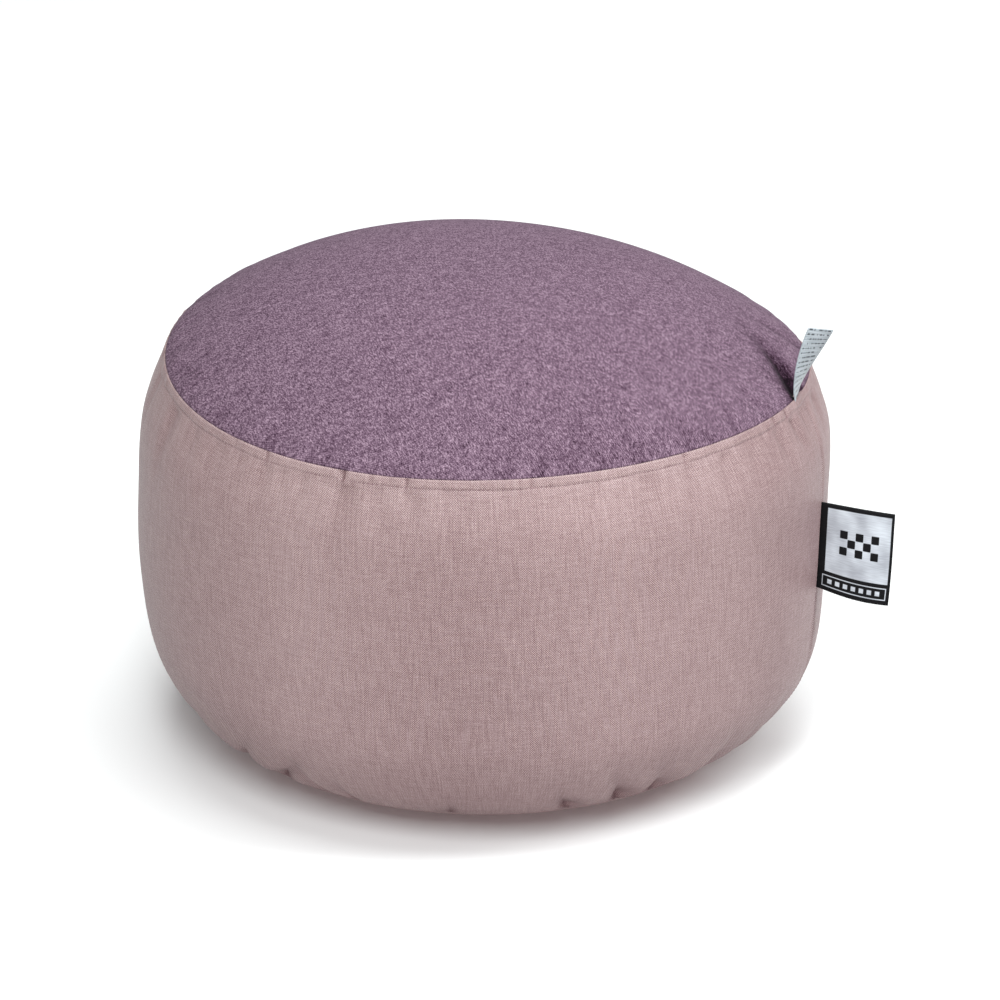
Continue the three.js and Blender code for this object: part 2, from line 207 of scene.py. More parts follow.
both = add_node(sky, "MixShader", {0: horizon.outputs[0], 1: glow.outputs[0], 2: walls.outputs[0]})
feed(sky, sky.nodes["World Output"], {"Surface": both.outputs[0]})

floor_mesh = bpy.data.meshes.new("studio_floor")
bm = bmesh.new()
bmesh.ops.create_grid(bm, x_segments=1, y_segments=1, size=FLOOR_SIZE / 2)
bm.to_mesh(floor_mesh)
bm.free()
studio_floor = bpy.data.objects.new("studio_floor", floor_mesh)
bpy.context.scene.collection.objects.link(studio_floor)
floor_paint = bpy.data.materials.new("floor_paint")
floor_paint.use_nodes = True
feed(floor_paint.node_tree, floor_paint.node_tree.nodes["Principled BSDF"], FLOOR_PAINT)
floor_mesh.materials.append(floor_paint)
studio_floor.visible_diffuse = False
print("floor is", FLOOR_SIZE, "m wide")

# %% [markdown]
# ## Folds as soft dents
#
# Filled cloth is smooth apart from the places where a seam gathers it. Each gather is a dent that starts
# at the seam and fades as it runs away from it. A bell curve gives the dent across, and a second bell
# curve makes it fade. A table of such dents, read off the real pouf, is quicker to adjust than
# a sculpted mesh. The solids have plainer tables of the same kind, with fewer and wider folds.

# %% Helpers for folds
FOLD_AREA = math.sqrt(math.pi)


def bell(x):
    return np.exp(-x * x)


def crease_bell(x):
    """Like a bell, but with a sharp bottom, as cloth has where a stitch pinches it."""
    return np.exp(-np.abs(x) ** 1.3)


def smooth_between(x, low, high):
    share = np.clip((x - low) / (high - low), 0, 1)
    return share * share * (3 - 2 * share)


def turn_between(a, b):
    """The angle from b to a in degrees, from -180 to 180."""
    return (a - b + 180) % 360 - 180


def fold_depth(folds, azimuth, distance, profile=bell):
    """How deep a table of folds dents the cloth.

    A row is azimuth, half width before and behind it, depth, reach and lean. Angles are in degrees, lengths
    in millimetres and leans in degrees for each millimetre.
    """
    depth = np.zeros_like(distance + azimuth)
    for middle, before, behind, deep, reach, lean in folds:
        across = turn_between(azimuth, middle + lean * distance / MM)
        across = across / np.where(across < 0, before, behind)
        depth += deep * MM * profile(across) * bell(distance / (reach * MM))
    return depth


def evened_folds(folds, azimuth, distance, profile=bell):
    """The same dents, with the cloth between them pushed out as much as they sink."""
    mean = np.zeros_like(distance + azimuth)
    for middle, before, behind, deep, reach, lean in folds:
        mean += deep * MM * (before + behind) / 2 * FOLD_AREA / 360 * bell(distance / (reach * MM))
    return fold_depth(folds, azimuth, distance, profile) - mean


print("a fold keeps", round(float(bell(1.0)), 2), "of its depth at its half width")

# %% [markdown]
# ## The top seam
#
# No sewn circle stays flat once it is filled. This one leans down to the right and up at the back, and it
# is a little oval. Both cloths meet on it, so it is a function that every later piece calls.

# %% The top seam
def top_seam_height(azimuth):
    angle = np.radians(azimuth)
    lean = SEAM_LEAN["right"] * np.sin(angle) - SEAM_LEAN["back"] * np.cos(angle)
    return TOP_SEAM_HEIGHT + lean + SEAM_LEAN["twist"] * np.sin(2 * angle)


def top_seam_radius(azimuth):
    return TOP_SEAM_RADIUS + SEAM_LEAN["oval"] * np.sin(2 * np.radians(azimuth))


def round_point(azimuth, radius, height, shift=(0, 0)):
    """Points round the axis, one in each row."""
    angle = np.radians(azimuth)
    x = radius * np.sin(angle) + shift[0]
    y = -radius * np.cos(angle) + shift[1]
    return np.stack(np.broadcast_arrays(x, y, height), axis=-1)


def top_seam_point(azimuth):
    return round_point(azimuth, top_seam_radius(azimuth), top_seam_height(azimuth), TOP_SHIFT)


print("top seam runs from", top_seam_height(np.arange(360.0)).min().round(4), "to",
      top_seam_height(np.arange(360.0)).max().round(4), "m")

# %% [markdown]
# ## The outline of the side band
#
# Seen from the side, the filled band is a barrel that pulls in at both seams. Seven points describe it.
# A smooth curve through them could be a Bezier with handles, but a Catmull-Rom curve needs no handles
# and passes through every point. Its length tells how wide the strip of cloth is.

# %% The outline of the side band
BAND_OUTLINE = [
    (BOTTOM_SEAM_RADIUS, BOTTOM_SEAM_HEIGHT),
    (0.88 * BELLY_RADIUS, 38.5 * MM),
    (0.968 * BELLY_RADIUS, 78 * MM),
    (0.999 * BELLY_RADIUS, 142 * MM),
    (BELLY_RADIUS, 205 * MM),
    (0.988 * BELLY_RADIUS, 268 * MM),
    (TOP_SEAM_RADIUS, TOP_SEAM_HEIGHT),
]


def smooth_outline(points, steps=60):
    """A centripetal Catmull-Rom curve through the points, and the length up to each of its points."""
    rows = np.array(points)
    rows = np.vstack([2 * rows[0] - rows[1], rows, 2 * rows[-1] - rows[-2]])
    share = np.linspace(0, 1, steps, endpoint=False)[:, None]
    pieces = []
    for before, start, end, after in zip(rows, rows[1:], rows[2:], rows[3:]):
        gap_in = math.sqrt(np.linalg.norm(start - before))
        gap = math.sqrt(np.linalg.norm(end - start))
        gap_out = math.sqrt(np.linalg.norm(after - end))
        leave = (start - before) / gap_in - (end - before) / (gap_in + gap) + (end - start) / gap
        arrive = (end - start) / gap - (after - start) / (gap + gap_out) + (after - end) / gap_out
        leave, arrive = leave * gap, arrive * gap
        bend = 3 * (end - start) - 2 * leave - arrive
        twist = 2 * (start - end) + leave + arrive
        pieces.append(start + share * (leave + share * (bend + share * twist)))
    curve = np.vstack([*pieces, rows[-2:-1]])
    lengths = np.concatenate([[0], np.cumsum(np.linalg.norm(np.diff(curve, axis=0), axis=1))])
    return curve, lengths


band_curve, band_lengths = smooth_outline(BAND_OUTLINE)
BAND_LENGTH = band_lengths[-1]
print("the band is cut", round(BAND_LENGTH / MM), "mm wide between its seams")

# %% [markdown]
# ## The form of the side band
#
# The strip is closed by one upright seam at the right, which slants a little. Its lower edge is gathered
# into the smaller base: each gather is a sharp crease with a softer side. Short waves hang from the
# topstitched rim. The filled form comes first, and the folds are laid over it on a finer mesh.

# %% The form of the side band
SIDE_SEAM = {"low_azimuth": 73.5, "high_azimuth": 76.5, "low": 110 * MM, "high": 230 * MM}
SIDE_SEAM_MIDDLE = 75.0
RIM_FADE = 1.6
GATHER_START = 0.12
GATHER_GROWTH = 9 * MM

# The columns of each table of folds are those of fold_depth
BOTTOM_GATHERS = [
    (16.5, 1.2, 3.4, 6.8, 38, -0.08), (27.5, 1.2, 3.6, 8.4, 46, -0.08), (36, 1.3, 4, 7.2, 44, -0.07),
    (47, 1.2, 3.2, 8.6, 43, 0), (54.5, 1.4, 2.8, 6.9, 35, 0.02), (61.5, 1.3, 3.2, 7.8, 46, 0.02),
    (69, 1.6, 2.2, 5.1, 38, 0.02), (82, 2.4, 1.4, 7.2, 46, 0.04), (94, 3, 1.4, 6.9, 51, -0.03),
    (108, 1.4, 2.8, 5.9, 35, 0.02), (126, 1.3, 3.6, 8.6, 57, -0.04), (141, 2.8, 1.3, 5.9, 38, 0.03),
    (159, 1.3, 3.2, 7.8, 49, 0.05), (177, 3, 1.4, 6.2, 40, -0.04), (-168, 1.4, 2.8, 7.2, 46, 0.04),
    (-150, 3.4, 1.6, 5.9, 38, 0.03), (-135, 1.3, 3, 8.2, 54, -0.05), (-114, 3, 1.4, 6.2, 43, -0.03),
    (-99, 1.4, 2.8, 5.9, 35, 0.04), (-84, 2.8, 1.4, 6.4, 43, -0.04), (-71, 2.6, 1.4, 7.2, 46, 0.12),
    (-58, 1.6, 1.8, 7.4, 46, 0.2), (-46, 2.2, 1.8, 7, 44, 0.2), (-33.5, 2.8, 1.2, 7.2, 40, -0.05),
    (-27, 2.4, 1.2, 4.8, 32, -0.03), (-7, 2.4, 1.6, 2.6, 27, 0.02),
]

BAND_WAVES = [
    (-49, 2.2, 1.8, 1.4, 40, -0.05), (-43.5, 1.4, 1.2, 1.3, 30, -0.03), (-38.6, 1.2, 1.5, 2.3, 34, -0.02),
    (-35.2, 1.1, 1.2, 1.6, 26, 0), (-31.4, 1.2, 1.3, 1.8, 32, 0), (-27.6, 1.1, 1.1, 0.9, 26, 0),
    (-23.6, 1.6, 2.4, 3.4, 58, -0.02), (-18.4, 1.2, 1.6, 1.4, 34, 0.02), (-12.6, 1.4, 1.6, 1.6, 38, 0.03),
    (-5, 2, 2.4, 0.9, 40, 0), (6, 2.4, 2, 0.9, 45, 0), (18, 1.8, 2.2, 0.9, 30, 0.02),
    (28.5, 2, 2.6, 1.6, 46, -0.02), (37.5, 1.6, 1.8, 2, 36, -0.02), (46, 1.4, 1.8, 2.2, 34, -0.03),
    (53, 1.4, 1.6, 1.4, 28, 0), (61, 1.2, 1.6, 2.2, 34, 0.04), (67.5, 1.2, 1.4, 3.1, 36, 0.05),
    (71.5, 0.9, 1, 2, 24, 0.06), (82, 1.6, 2, 2.2, 34, -0.03), (96, 1.8, 2.4, 2.9, 60, -0.02),
    (107, 1.4, 1.4, 1.6, 34, 0), (120, 1.8, 1.4, 2.2, 45, 0.02), (133, 1.4, 2, 1.8, 36, -0.03),
    (147, 2.4, 1.6, 3.2, 65, 0.03), (160, 1.4, 1.4, 1.4, 30, 0), (171, 1.6, 2, 2.2, 50, -0.03),
    (-159, 2.2, 1.8, 2.9, 60, 0.02), (-146, 1.4, 1.4, 1.6, 32, 0.02), (-129, 1.8, 2.2, 2.5, 50, -0.02),
    (-117, 1.2, 1.6, 1.8, 34, 0), (-105, 2.2, 1.6, 2.9, 60, 0.03), (-92, 1.4, 1.4, 1.4, 30, 0),
    (-80, 1.6, 2, 2.2, 44, -0.03), (-66, 1.8, 2.2, 2.5, 55, -0.03), (-57, 1.6, 1.4, 1.4, 34, -0.03),
]


def side_seam_azimuth(height):
    rise = smooth_between(height, SIDE_SEAM["low"], SIDE_SEAM["high"])
    return SIDE_SEAM["low_azimuth"] + rise * (SIDE_SEAM["high_azimuth"] - SIDE_SEAM["low_azimuth"])


def band_form(azimuth, distance):
    """Points of the filled band, by azimuth and by distance up the cloth from the bottom seam."""
    distance = np.clip(distance, 0, BAND_LENGTH)
    radius = np.interp(distance, band_lengths, band_curve[:, 0])
    level = np.interp(distance, band_lengths, band_curve[:, 1])
    share = (level - BOTTOM_SEAM_HEIGHT) / (TOP_SEAM_HEIGHT - BOTTOM_SEAM_HEIGHT)
    radius = radius + (top_seam_radius(azimuth) - TOP_SEAM_RADIUS) * share ** 2
    radius -= LEFT_BULGE * np.sin(np.radians(azimuth)) * np.sin(np.pi * share) ** 2
    height = BOTTOM_SEAM_HEIGHT + (top_seam_height(azimuth) - BOTTOM_SEAM_HEIGHT) * share
    points = round_point(azimuth, radius, height)
    points[..., 0] += TOP_SHIFT[0] * share
    points[..., 1] += TOP_SHIFT[1] * share
    return points


def below_rim(from_top):
    """0 on the rim and 1 well below it."""
    return smooth_between(from_top, RIM_WIDTH, RIM_FADE * RIM_WIDTH)


def band_folds(azimuth, distance):
    """How deep the gathers and the waves dent the band. Both are held by the seams that make them."""
    gather = GATHER_START + (1 - GATHER_START) * smooth_between(distance, 0, GATHER_GROWTH)
    depth = evened_folds(BOTTOM_GATHERS, azimuth, distance, crease_bell) * gather
    from_top = BAND_LENGTH - distance
    return depth + evened_folds(BAND_WAVES, azimuth, from_top) * below_rim(from_top)


print("belly at the front:", band_form(np.array([0.0]), np.array([0.5 * BAND_LENGTH])).round(4))

# %% [markdown]
# ## The form of the top panel
#
# The top is one round panel, domed by the filling and fullest towards the back. It rises from its seam
# straight away and has one deep crease where the folded tape is sewn in. Its short gathers are listed
# here too, and are laid over the form on a finer mesh, as on the band.

# %% The form of the top panel
TOP_GATHERS = [
    (4, 0.9, 0.9, 0.8, 22, 0.05), (9.5, 0.8, 1.4, 1.4, 30, 0.05), (15, 2.6, 2.6, 1, 36, 0.05),
    (21, 0.9, 1.4, 1.4, 30, -0.03), (28, 2.4, 2.4, 0.9, 34, -0.03), (33, 0.9, 0.9, 0.7, 20, 0.02),
    (39, 0.9, 1.3, 1.4, 28, 0.04), (46, 2.4, 2.4, 1, 30, 0.05), (51, 1, 1.2, 1.1, 24, 0.05),
    (60, 0.9, 1.1, 1, 22, 0.05), (96, 1.6, 2.6, 2, 40, 0.03), (107, 1, 1.2, 1, 24, 0.04),
    (120, 2.4, 1.4, 1.6, 30, 0.04), (134, 1.2, 1.2, 0.9, 24, -0.03), (147, 1.4, 2.6, 1.8, 34, -0.05),
    (161, 1.2, 1.2, 0.9, 26, 0.03), (174, 2.4, 1.6, 1.4, 28, 0.03), (-170, 1, 1.2, 0.9, 24, 0.03),
    (-156, 1.6, 2.6, 1.8, 34, 0.05), (-141, 1.2, 1.2, 1, 26, 0.03), (-129, 2.4, 1.6, 1.4, 28, -0.03),
    (-116, 1.2, 1.2, 1, 26, 0.04), (-105, 2.6, 1.6, 1.4, 32, 0.04), (-92, 1.2, 1.2, 0.8, 26, 0.05),
    (-83, 1, 1, 0.7, 28, 0.06), (-74, 0.9, 0.9, 0.9, 32, 0.08), (-71.4, 0.8, 0.8, 1, 36, 0.08),
    (-69, 0.8, 0.8, 0.9, 36, 0.07), (-66.3, 0.8, 0.8, 0.9, 32, 0.06), (-63.6, 0.9, 0.9, 0.7, 28, 0.05),
    (-52, 2, 2, 0.6, 34, 0.05), (-40, 2.2, 2.2, 0.6, 40, 0.06), (-28, 2.2, 2.2, 0.6, 36, 0.04),
    (-14, 2.2, 2.2, 0.5, 30, 0.02),
]
CREASE = {"azimuth": 73.5, "lean": 0.25, "depth": 14 * MM, "reach": 30 * MM, "near": 2.6, "far": 2.8}
CREASE_SHADE = {"darkest": 0.62, "reach": 34 * MM, "near": 2.8, "far": 4.4}
TOP_GATHER_SHADE = 0.06


def crease_depth(azimuth, distance):
    offset = turn_between(azimuth, CREASE["azimuth"] + CREASE["lean"] * distance / MM)
    half_width = np.where(offset < 0, CREASE["near"], CREASE["far"])
    return CREASE["depth"] * bell(offset / half_width) * bell(distance / CREASE["reach"])


def top_tone(azimuth, distance):
    """How much darker the cloth is in the crease and in the gathers, where little light gets in."""
    offset = turn_between(azimuth, CREASE["azimuth"] + CREASE["lean"] * distance / MM)
    half_width = np.where(offset < 0, CREASE_SHADE["near"], CREASE_SHADE["far"])
    crease = bell(offset / half_width) * bell(distance / CREASE_SHADE["reach"])
    gathers = fold_depth(TOP_GATHERS, azimuth, distance) / MM
    return -CREASE_SHADE["darkest"] * crease - TOP_GATHER_SHADE * gathers


def crown_form(azimuth, share):
    """Points of the filled top panel. share is 1 at the seam and 0 in the middle."""
    seam = top_seam_point(azimuth)
    distance = (1 - share) * top_seam_radius(azimuth)
    drop = (seam[..., 2] - TOP_SEAM_HEIGHT) * share ** LEAN_POWER
    lift = 1 - np.exp(-distance / PUFF_REACH)
    middle = 1 - share ** 2
    x = TOP_SHIFT[0] + (seam[..., 0] - TOP_SHIFT[0]) * share + CROWN_SHIFT[0] * middle
    y = TOP_SHIFT[1] + (seam[..., 1] - TOP_SHIFT[1]) * share + CROWN_SHIFT[1] * middle
    z = TOP_SEAM_HEIGHT + drop + CROWN_RISE * (1 - share ** CROWN_POWER)
    z += PUFF_RISE * lift * share - crease_depth(azimuth, distance) * lift
    return np.stack([x, y, z], axis=-1)


print("crown top:", crown_form(np.array([0.0]), np.array([0.0])).round(4))

# %% [markdown]
# ## Meshes that keep their threads
#
# The band is spun as a plain drum of radius 1, so each vertex still tells its azimuth and its distance up
# the cloth when it is moved to its place. The round panel could be spun too, but then all threads
# would crowd at the middle. It is a square grid instead, whose rings are pressed into circles.

# %% Mesh helpers
def read_values(items, key, width=1, kind=float):
    """One number, or a row of width numbers, for each item of a mesh."""
    values = np.empty(len(items) * width, dtype=kind)
    items.foreach_get(key, values)
    return values.reshape(-1, width) if width > 1 else values


def coordinates(mesh):
    return read_values(mesh.vertices, "co", 3)


def vertex_normals(mesh):
    return read_values(mesh.vertices, "normal", 3)


def corner_vertices(mesh):
    return read_values(mesh.loops, "vertex_index", kind=np.int32)


def corner_faces(mesh):
    """The number of the face that each corner belongs to."""
    sizes = read_values(mesh.polygons, "loop_total", kind=np.int32)
    return np.repeat(np.arange(len(mesh.polygons)), sizes)


def move_vertices(mesh, points):
    mesh.vertices.foreach_set("co", points.reshape(-1))
    mesh.update()


def mesh_piece(name, bm):
    """Put a finished bmesh into an object at the origin."""
    mesh = bpy.data.meshes.new(name)
    bm.to_mesh(mesh)
    bm.free()
    piece = bpy.data.objects.new(name, mesh)
    bpy.context.scene.collection.objects.link(piece)
    return piece


def keep_value(mesh, name, values):
    """Store one number at each vertex, which stays with the cloth when it is subdivided."""
    attribute = mesh.attributes.new(name, "FLOAT", "POINT")
    attribute.data.foreach_set("value", np.asarray(values, dtype=np.float32))


def kept_value(mesh, name):
    return read_values(mesh.attributes[name].data, "value", kind=np.float32).astype(float)


def write_uv(mesh, uv_of_corners):
    """Write the thread directions as a UV map, in metres of cloth."""
    layer = mesh.uv_layers.new(name="threads")
    layer.data.foreach_set("uv", uv_of_corners.reshape(-1))


def subdivide_once(piece):
    """One smooth subdivision, applied, so that the sewing can be added to the finer mesh."""
    modifier = piece.modifiers.new("finer", "SUBSURF")
    modifier.levels = 1
    modifier.render_levels = 1
    graph = bpy.context.evaluated_depsgraph_get()
    finer = bpy.data.meshes.new_from_object(piece.evaluated_get(graph), depsgraph=graph)
    finer.name = piece.name
    piece.modifiers.clear()
    piece.data = finer
    return finer


def close_openings(mesh, ring_moves):
    """Close each open edge ring with a hidden face, so that the piece is one filled body.

    ring_moves holds, for each ring from low to high, how the extruded ring moves inside.
    """
    bm = bmesh.new()
    bm.from_mesh(mesh)
    open_edges = [edge for edge in bm.edges if edge.is_boundary]
    rings = []
    waiting = set(open_edges)
    while waiting:
        ring = [waiting.pop()]
        frontier = [ring[0]]
        while frontier:
            edge = frontier.pop()
            for vert in edge.verts:
                for linked in vert.link_edges:
                    if linked in waiting:
                        waiting.remove(linked)
                        ring.append(linked)
                        frontier.append(linked)
        rings.append(ring)
    rings.sort(key=lambda ring: sum(edge.verts[0].co.z for edge in ring) / len(ring))
    for ring, move in zip(rings, ring_moves):
        made = bmesh.ops.extrude_edge_only(bm, edges=ring)["geom"]
        inner = [item for item in made if isinstance(item, bmesh.types.BMVert)]
        inner_edges = [item for item in made if isinstance(item, bmesh.types.BMEdge)]
        inner_edges = [edge for edge in inner_edges if edge.is_boundary]
        for vert in inner:
            vert.co = move(vert.co)
        face = bmesh.ops.contextual_create(bm, geom=inner_edges)["faces"]
        bmesh.ops.poke(bm, faces=face)
    bmesh.ops.recalc_face_normals(bm, faces=bm.faces)
    bm.to_mesh(mesh)
    bm.free()
    return len(rings)


def shade_smooth(mesh):
    mesh.polygons.foreach_set("use_smooth", np.ones(len(mesh.polygons), dtype=bool))
    mesh.update()


print("mesh helpers are ready")

# %% [markdown]
# ## The filling, simulated
#
# A maker sews the cloth with a little slack at each seam, and the filling presses that slack into small
# wrinkles. The Cloth modifier does the same: its pressure is the filling, the seams are pinned, and
# the cloth near them is cut a few percent too large. A small unevenness tells the wrinkles where to start.
# The form is already right, so the mean swelling of each ring is taken away and only the wrinkles stay.
# No point may move more than a few millimetres.

# %% The filling, simulated
CLOTH_SETTINGS = {
    "quality": 5, "mass": 0.15, "tension_stiffness": 15, "compression_stiffness": 15, "shear_stiffness": 5,
    "bending_stiffness": 0.05, "use_pressure": True, "uniform_pressure_force": 4, "shrink_min": 0,
}
SIM_FRAMES = 20
MOVE_CAP = 4 * MM
SEED_DEPTH = 0.4 * MM


def paint_group(piece, name, weights):
    group = piece.vertex_groups.new(name=name)
    for step in np.unique(weights.round(2)):
        if step > 0:
            members = np.flatnonzero(weights.round(2) == step)
            group.add(members.tolist(), float(step), "REPLACE")
    return group.name


def fill_with_pressure(piece, pins, slack, most_slack, rings):
    """Let the filling press on one cloth. rings numbers the ring that each vertex lies on."""
    start = coordinates(piece.data)
    modifier = piece.modifiers.new("filling", "CLOTH")
    cloth = modifier.settings
    for key, value in CLOTH_SETTINGS.items():
        setattr(cloth, key, value)
    cloth.effector_weights.gravity = 0
    cloth.vertex_group_mass = paint_group(piece, "pinned", pins)
    cloth.vertex_group_shrink = paint_group(piece, "slack", slack)
    cloth.shrink_max = -most_slack
    modifier.collision_settings.use_collision = False
    modifier.point_cache.frame_start = 1
    modifier.point_cache.frame_end = SIM_FRAMES
    scene = bpy.context.scene
    for frame_number in range(1, SIM_FRAMES + 1):
        scene.frame_set(frame_number)
    graph = bpy.context.evaluated_depsgraph_get()
    pressed = coordinates(piece.evaluated_get(graph).to_mesh())
    piece.evaluated_get(graph).to_mesh_clear()
    piece.modifiers.clear()
    piece.vertex_groups.clear()
    scene.frame_set(1)

    outward = start / np.maximum(np.linalg.norm(start, axis=1), 1e-6)[:, None]
    move = pressed - start
    swelling = (move * outward).sum(axis=1)
    mean = np.bincount(rings, swelling) / np.maximum(np.bincount(rings), 1)
    move -= mean[rings][:, None] * outward
    size = np.linalg.norm(move, axis=1)
    move *= (MOVE_CAP * np.tanh(size / MOVE_CAP) / np.maximum(size, 1e-9))[:, None]
    move_vertices(piece.data, start + move)
    swelled, wrinkled = (mean.max() / MM).round(1), (size.max() / MM).round(1)
    print(piece.name, "swelled", swelled, "mm and wrinkled", wrinkled, "mm")


print("each filling presses for", SIM_FRAMES, "frames")

# %% [markdown]
# ## Small unevenness
#
# Sewn edges are never quite even. A few waves of different lengths, added together, give an unevenness
# that closes on itself after a full turn and is the same in each run, which a noise would not promise.

# %% Small unevenness
def uneven(azimuth, waves, seed):
    """A sum of waves round the pouf, between about -1 and 1. waves are whole numbers of waves a turn."""
    phases = np.random.default_rng(seed).uniform(0, 2 * math.pi, len(waves))
    total = np.zeros_like(azimuth, dtype=float)
    for count, phase in zip(waves, phases):
        total += np.sin(count * np.radians(azimuth) + phase)
    return total / math.sqrt(2 * len(waves))


print("three waves reach", uneven(np.arange(360.0), (7, 19, 41), 3).max().round(2), "times their depth")

# %% [markdown]
# ## The side band
#
# This is one long strip of dusty pink cloth. Its top edge is folded over the seam allowance and
# topstitched, which makes a rim that stands out by the thickness of three cloths. Stitches pull a
# furrow below it. Pinches cross the rim where the machine caught a little too much cloth. The first
# column of the spun drum follows the upright seam, so the threads break there as they do on the real one.

# %% The side band
BAND_COLUMNS = 468
BAND_ROW_STEPS = [(9 * MM, 1.3 * MM), (60 * MM, 5.1 * MM), (280 * MM, 9.2 * MM), (BAND_LENGTH, 4 * MM)]
RIM_RISE = 0.75 * MM
RIM_UPWARD_SHARE = 0.5
RIM_FOLD = 1.6 * MM
RIM_STEP = 0.9 * MM
RIM_UNEVEN = {"width": 0.05, "rise": 0.45}
FURROW = {"sink": 0.2 * MM, "half_width": 0.6 * MM}
PINCHES = [(-39, 1.6), (-24, 2.8), (-19, 1.0), (-13, 1.6), (8, 1.0), (37, 1.2), (62, 1.2), (67, 1.8),
           (101, 1.6), (133, 2.1), (168, 1.4), (-151, 1.9), (-117, 1.6), (-86, 1.2)]
PINCH_HALF_WIDTH = 0.5
SEAM_PULL_REACH = 25
# How far the slack reaches from each seam, how much cloth each seam holds still, and the most slack
BAND_SLACK = {"low": 40 * MM, "high": 45 * MM, "held_low": 0.5 * MM, "held_high": 10 * MM, "most": 0.07}


def row_distances():
    """Distances up the cloth: close rows at both seams and wide ones at the belly."""
    from_top = [0.0]
    for limit, step in BAND_ROW_STEPS:
        count = max(1, round((limit - from_top[-1]) / step))
        from_top += list(np.linspace(from_top[-1], limit, count + 1)[1:])
    return BAND_LENGTH - np.array(from_top[::-1])


def spun_drum(heights, columns):
    """A drum of radius 1 round the axis, from one upright line of vertices and a full spin."""
    bm = bmesh.new()
    line = [bm.verts.new((1, 0, height)) for height in heights]
    edges = [bm.edges.new(pair) for pair in zip(line, line[1:])]
    bmesh.ops.spin(
        bm, geom=line + edges, cent=(0, 0, 0), axis=(0, 0, 1), dvec=(0, 0, 0),
        angle=2 * math.pi, steps=columns, use_merge=True, use_duplicate=False,
    )
    bmesh.ops.remove_doubles(bm, verts=bm.verts, dist=1e-6)
    bmesh.ops.recalc_face_normals(bm, faces=bm.faces)
    return bm


def rim_width(azimuth):
    return RIM_WIDTH * (1 + RIM_UNEVEN["width"] * uneven(azimuth, (7, 19, 41), 3))


def rim_relief(azimuth, from_top):
    """How far the folded rim stands out of the band, the furrow of its stitches below it included."""
    width = rim_width(azimuth)
    rim = RIM_RISE * (1 + RIM_UNEVEN["rise"] * uneven(azimuth, (31, 47, 83, 121), 5))
    for middle, depth in PINCHES:
        rim -= depth * MM * crease_bell(turn_between(azimuth, middle) / PINCH_HALF_WIDTH)
    rim *= smooth_between(from_top, 0, RIM_FOLD) * smooth_between(width - from_top, 0, RIM_STEP)
    return rim - FURROW["sink"] * bell((from_top - width) / FURROW["half_width"])


band_rows = row_distances()
side_band = mesh_piece("side_band_cloth", spun_drum(band_rows, BAND_COLUMNS))
drum = coordinates(side_band.data)
turn = np.degrees(np.arctan2(drum[:, 1], drum[:, 0])) % 360
turn = np.where(turn > 360 - 1e-3, 0, turn)
climb = drum[:, 2]
level = np.interp(climb, band_lengths, band_curve[:, 1])
pull = side_seam_azimuth(level) - SIDE_SEAM_MIDDLE
band_azimuth = SIDE_SEAM_MIDDLE + turn + pull * bell(turn_between(turn, 0) / SEAM_PULL_REACH)
from_top = BAND_LENGTH - climb
high_slack = bell((from_top - BAND_SLACK["held_high"]) / BAND_SLACK["high"])
band_slack = np.maximum(high_slack, bell(climb / BAND_SLACK["low"]))
band_points = band_form(band_azimuth, climb)
seeds = SEED_DEPTH * band_slack * uneven(band_azimuth, (23, 31, 43, 59, 73), 17)
band_points[:, :2] *= 1 + (seeds / BELLY_RADIUS)[:, None]
move_vertices(side_band.data, band_points)
keep_value(side_band.data, "climb", climb)

corners = corner_vertices(side_band.data)
faces = corner_faces(side_band.data)
corner_turn = turn[corners]
face_turn = np.bincount(faces, np.sin(np.radians(corner_turn))) < 0
closing = face_turn[faces] & (corner_turn < 90)
corner_turn = np.where(closing, corner_turn + 360, corner_turn)
write_uv(side_band.data, np.stack([np.radians(corner_turn) * BELLY_RADIUS, climb[corners]], axis=1))

band_ring = np.searchsorted(band_rows, climb - 1e-5)
band_pins = (from_top < BAND_SLACK["held_high"]) | (climb < BAND_SLACK["held_low"])
fill_with_pressure(side_band, band_pins * 1.0, band_slack, BAND_SLACK["most"], band_ring)
print("side band has", len(side_band.data.polygons), "faces before its sewing")

# %% [markdown]
# ## The sewing of the side band
#
# The rim, its furrow, the upright seam and the creases of the gathers are narrower than the simulated
# faces, so they come after one subdivision. Each vertex still knows how far up the cloth it lies, and is
# pushed along its normal. A tone is stored at each vertex too, and it is mostly painted light. At the
# front, pale streaks are painted highlights, and darker streaks in the middle and towards the sides are
# painted shade. Round the back the streaks are paler and darker linen that varies at random. The gathers,
# the waves below the rim and the slits that are too narrow to model get painted shade, as little light gets
# in.

# %% The sewing of the side band
SEAM_GROOVE = {"sink": 1.6 * MM, "half_width": 0.7}
SEAM_RIDGE = {"rise": 0.5 * MM, "width": 1.3, "fade": 1.35}
# Azimuth, half width and change of tone of each streak. From -80 to 86 degrees the pale streaks are
# painted highlights and the dark ones are painted shade; the streaks round the back vary at random.
BAND_TONE_AND_PAINTED_LIGHT_STREAKS = [
    (-80, 9, -0.05), (-31, 10, 0.055), (-3, 10, -0.045), (21, 6, 0.025), (57, 9, -0.09), (72, 8, -0.05),
    (86, 12, -0.07), (125, 12, 0.04), (150, 10, -0.04), (176, 12, 0.04), (-154, 10, -0.04),
    (-128, 12, 0.04), (-103, 10, -0.03),
]
GATHER_SHADE = 0.028
WAVE_SHADE = 0.04
GATHER_SLIT = {"half_width": 0.6, "low": 2 * MM, "reach": 17 * MM, "shade": 0.42}
PINCH_SLIT = {"half_width": 0.3, "past_rim": 2 * MM, "shade": 0.16}


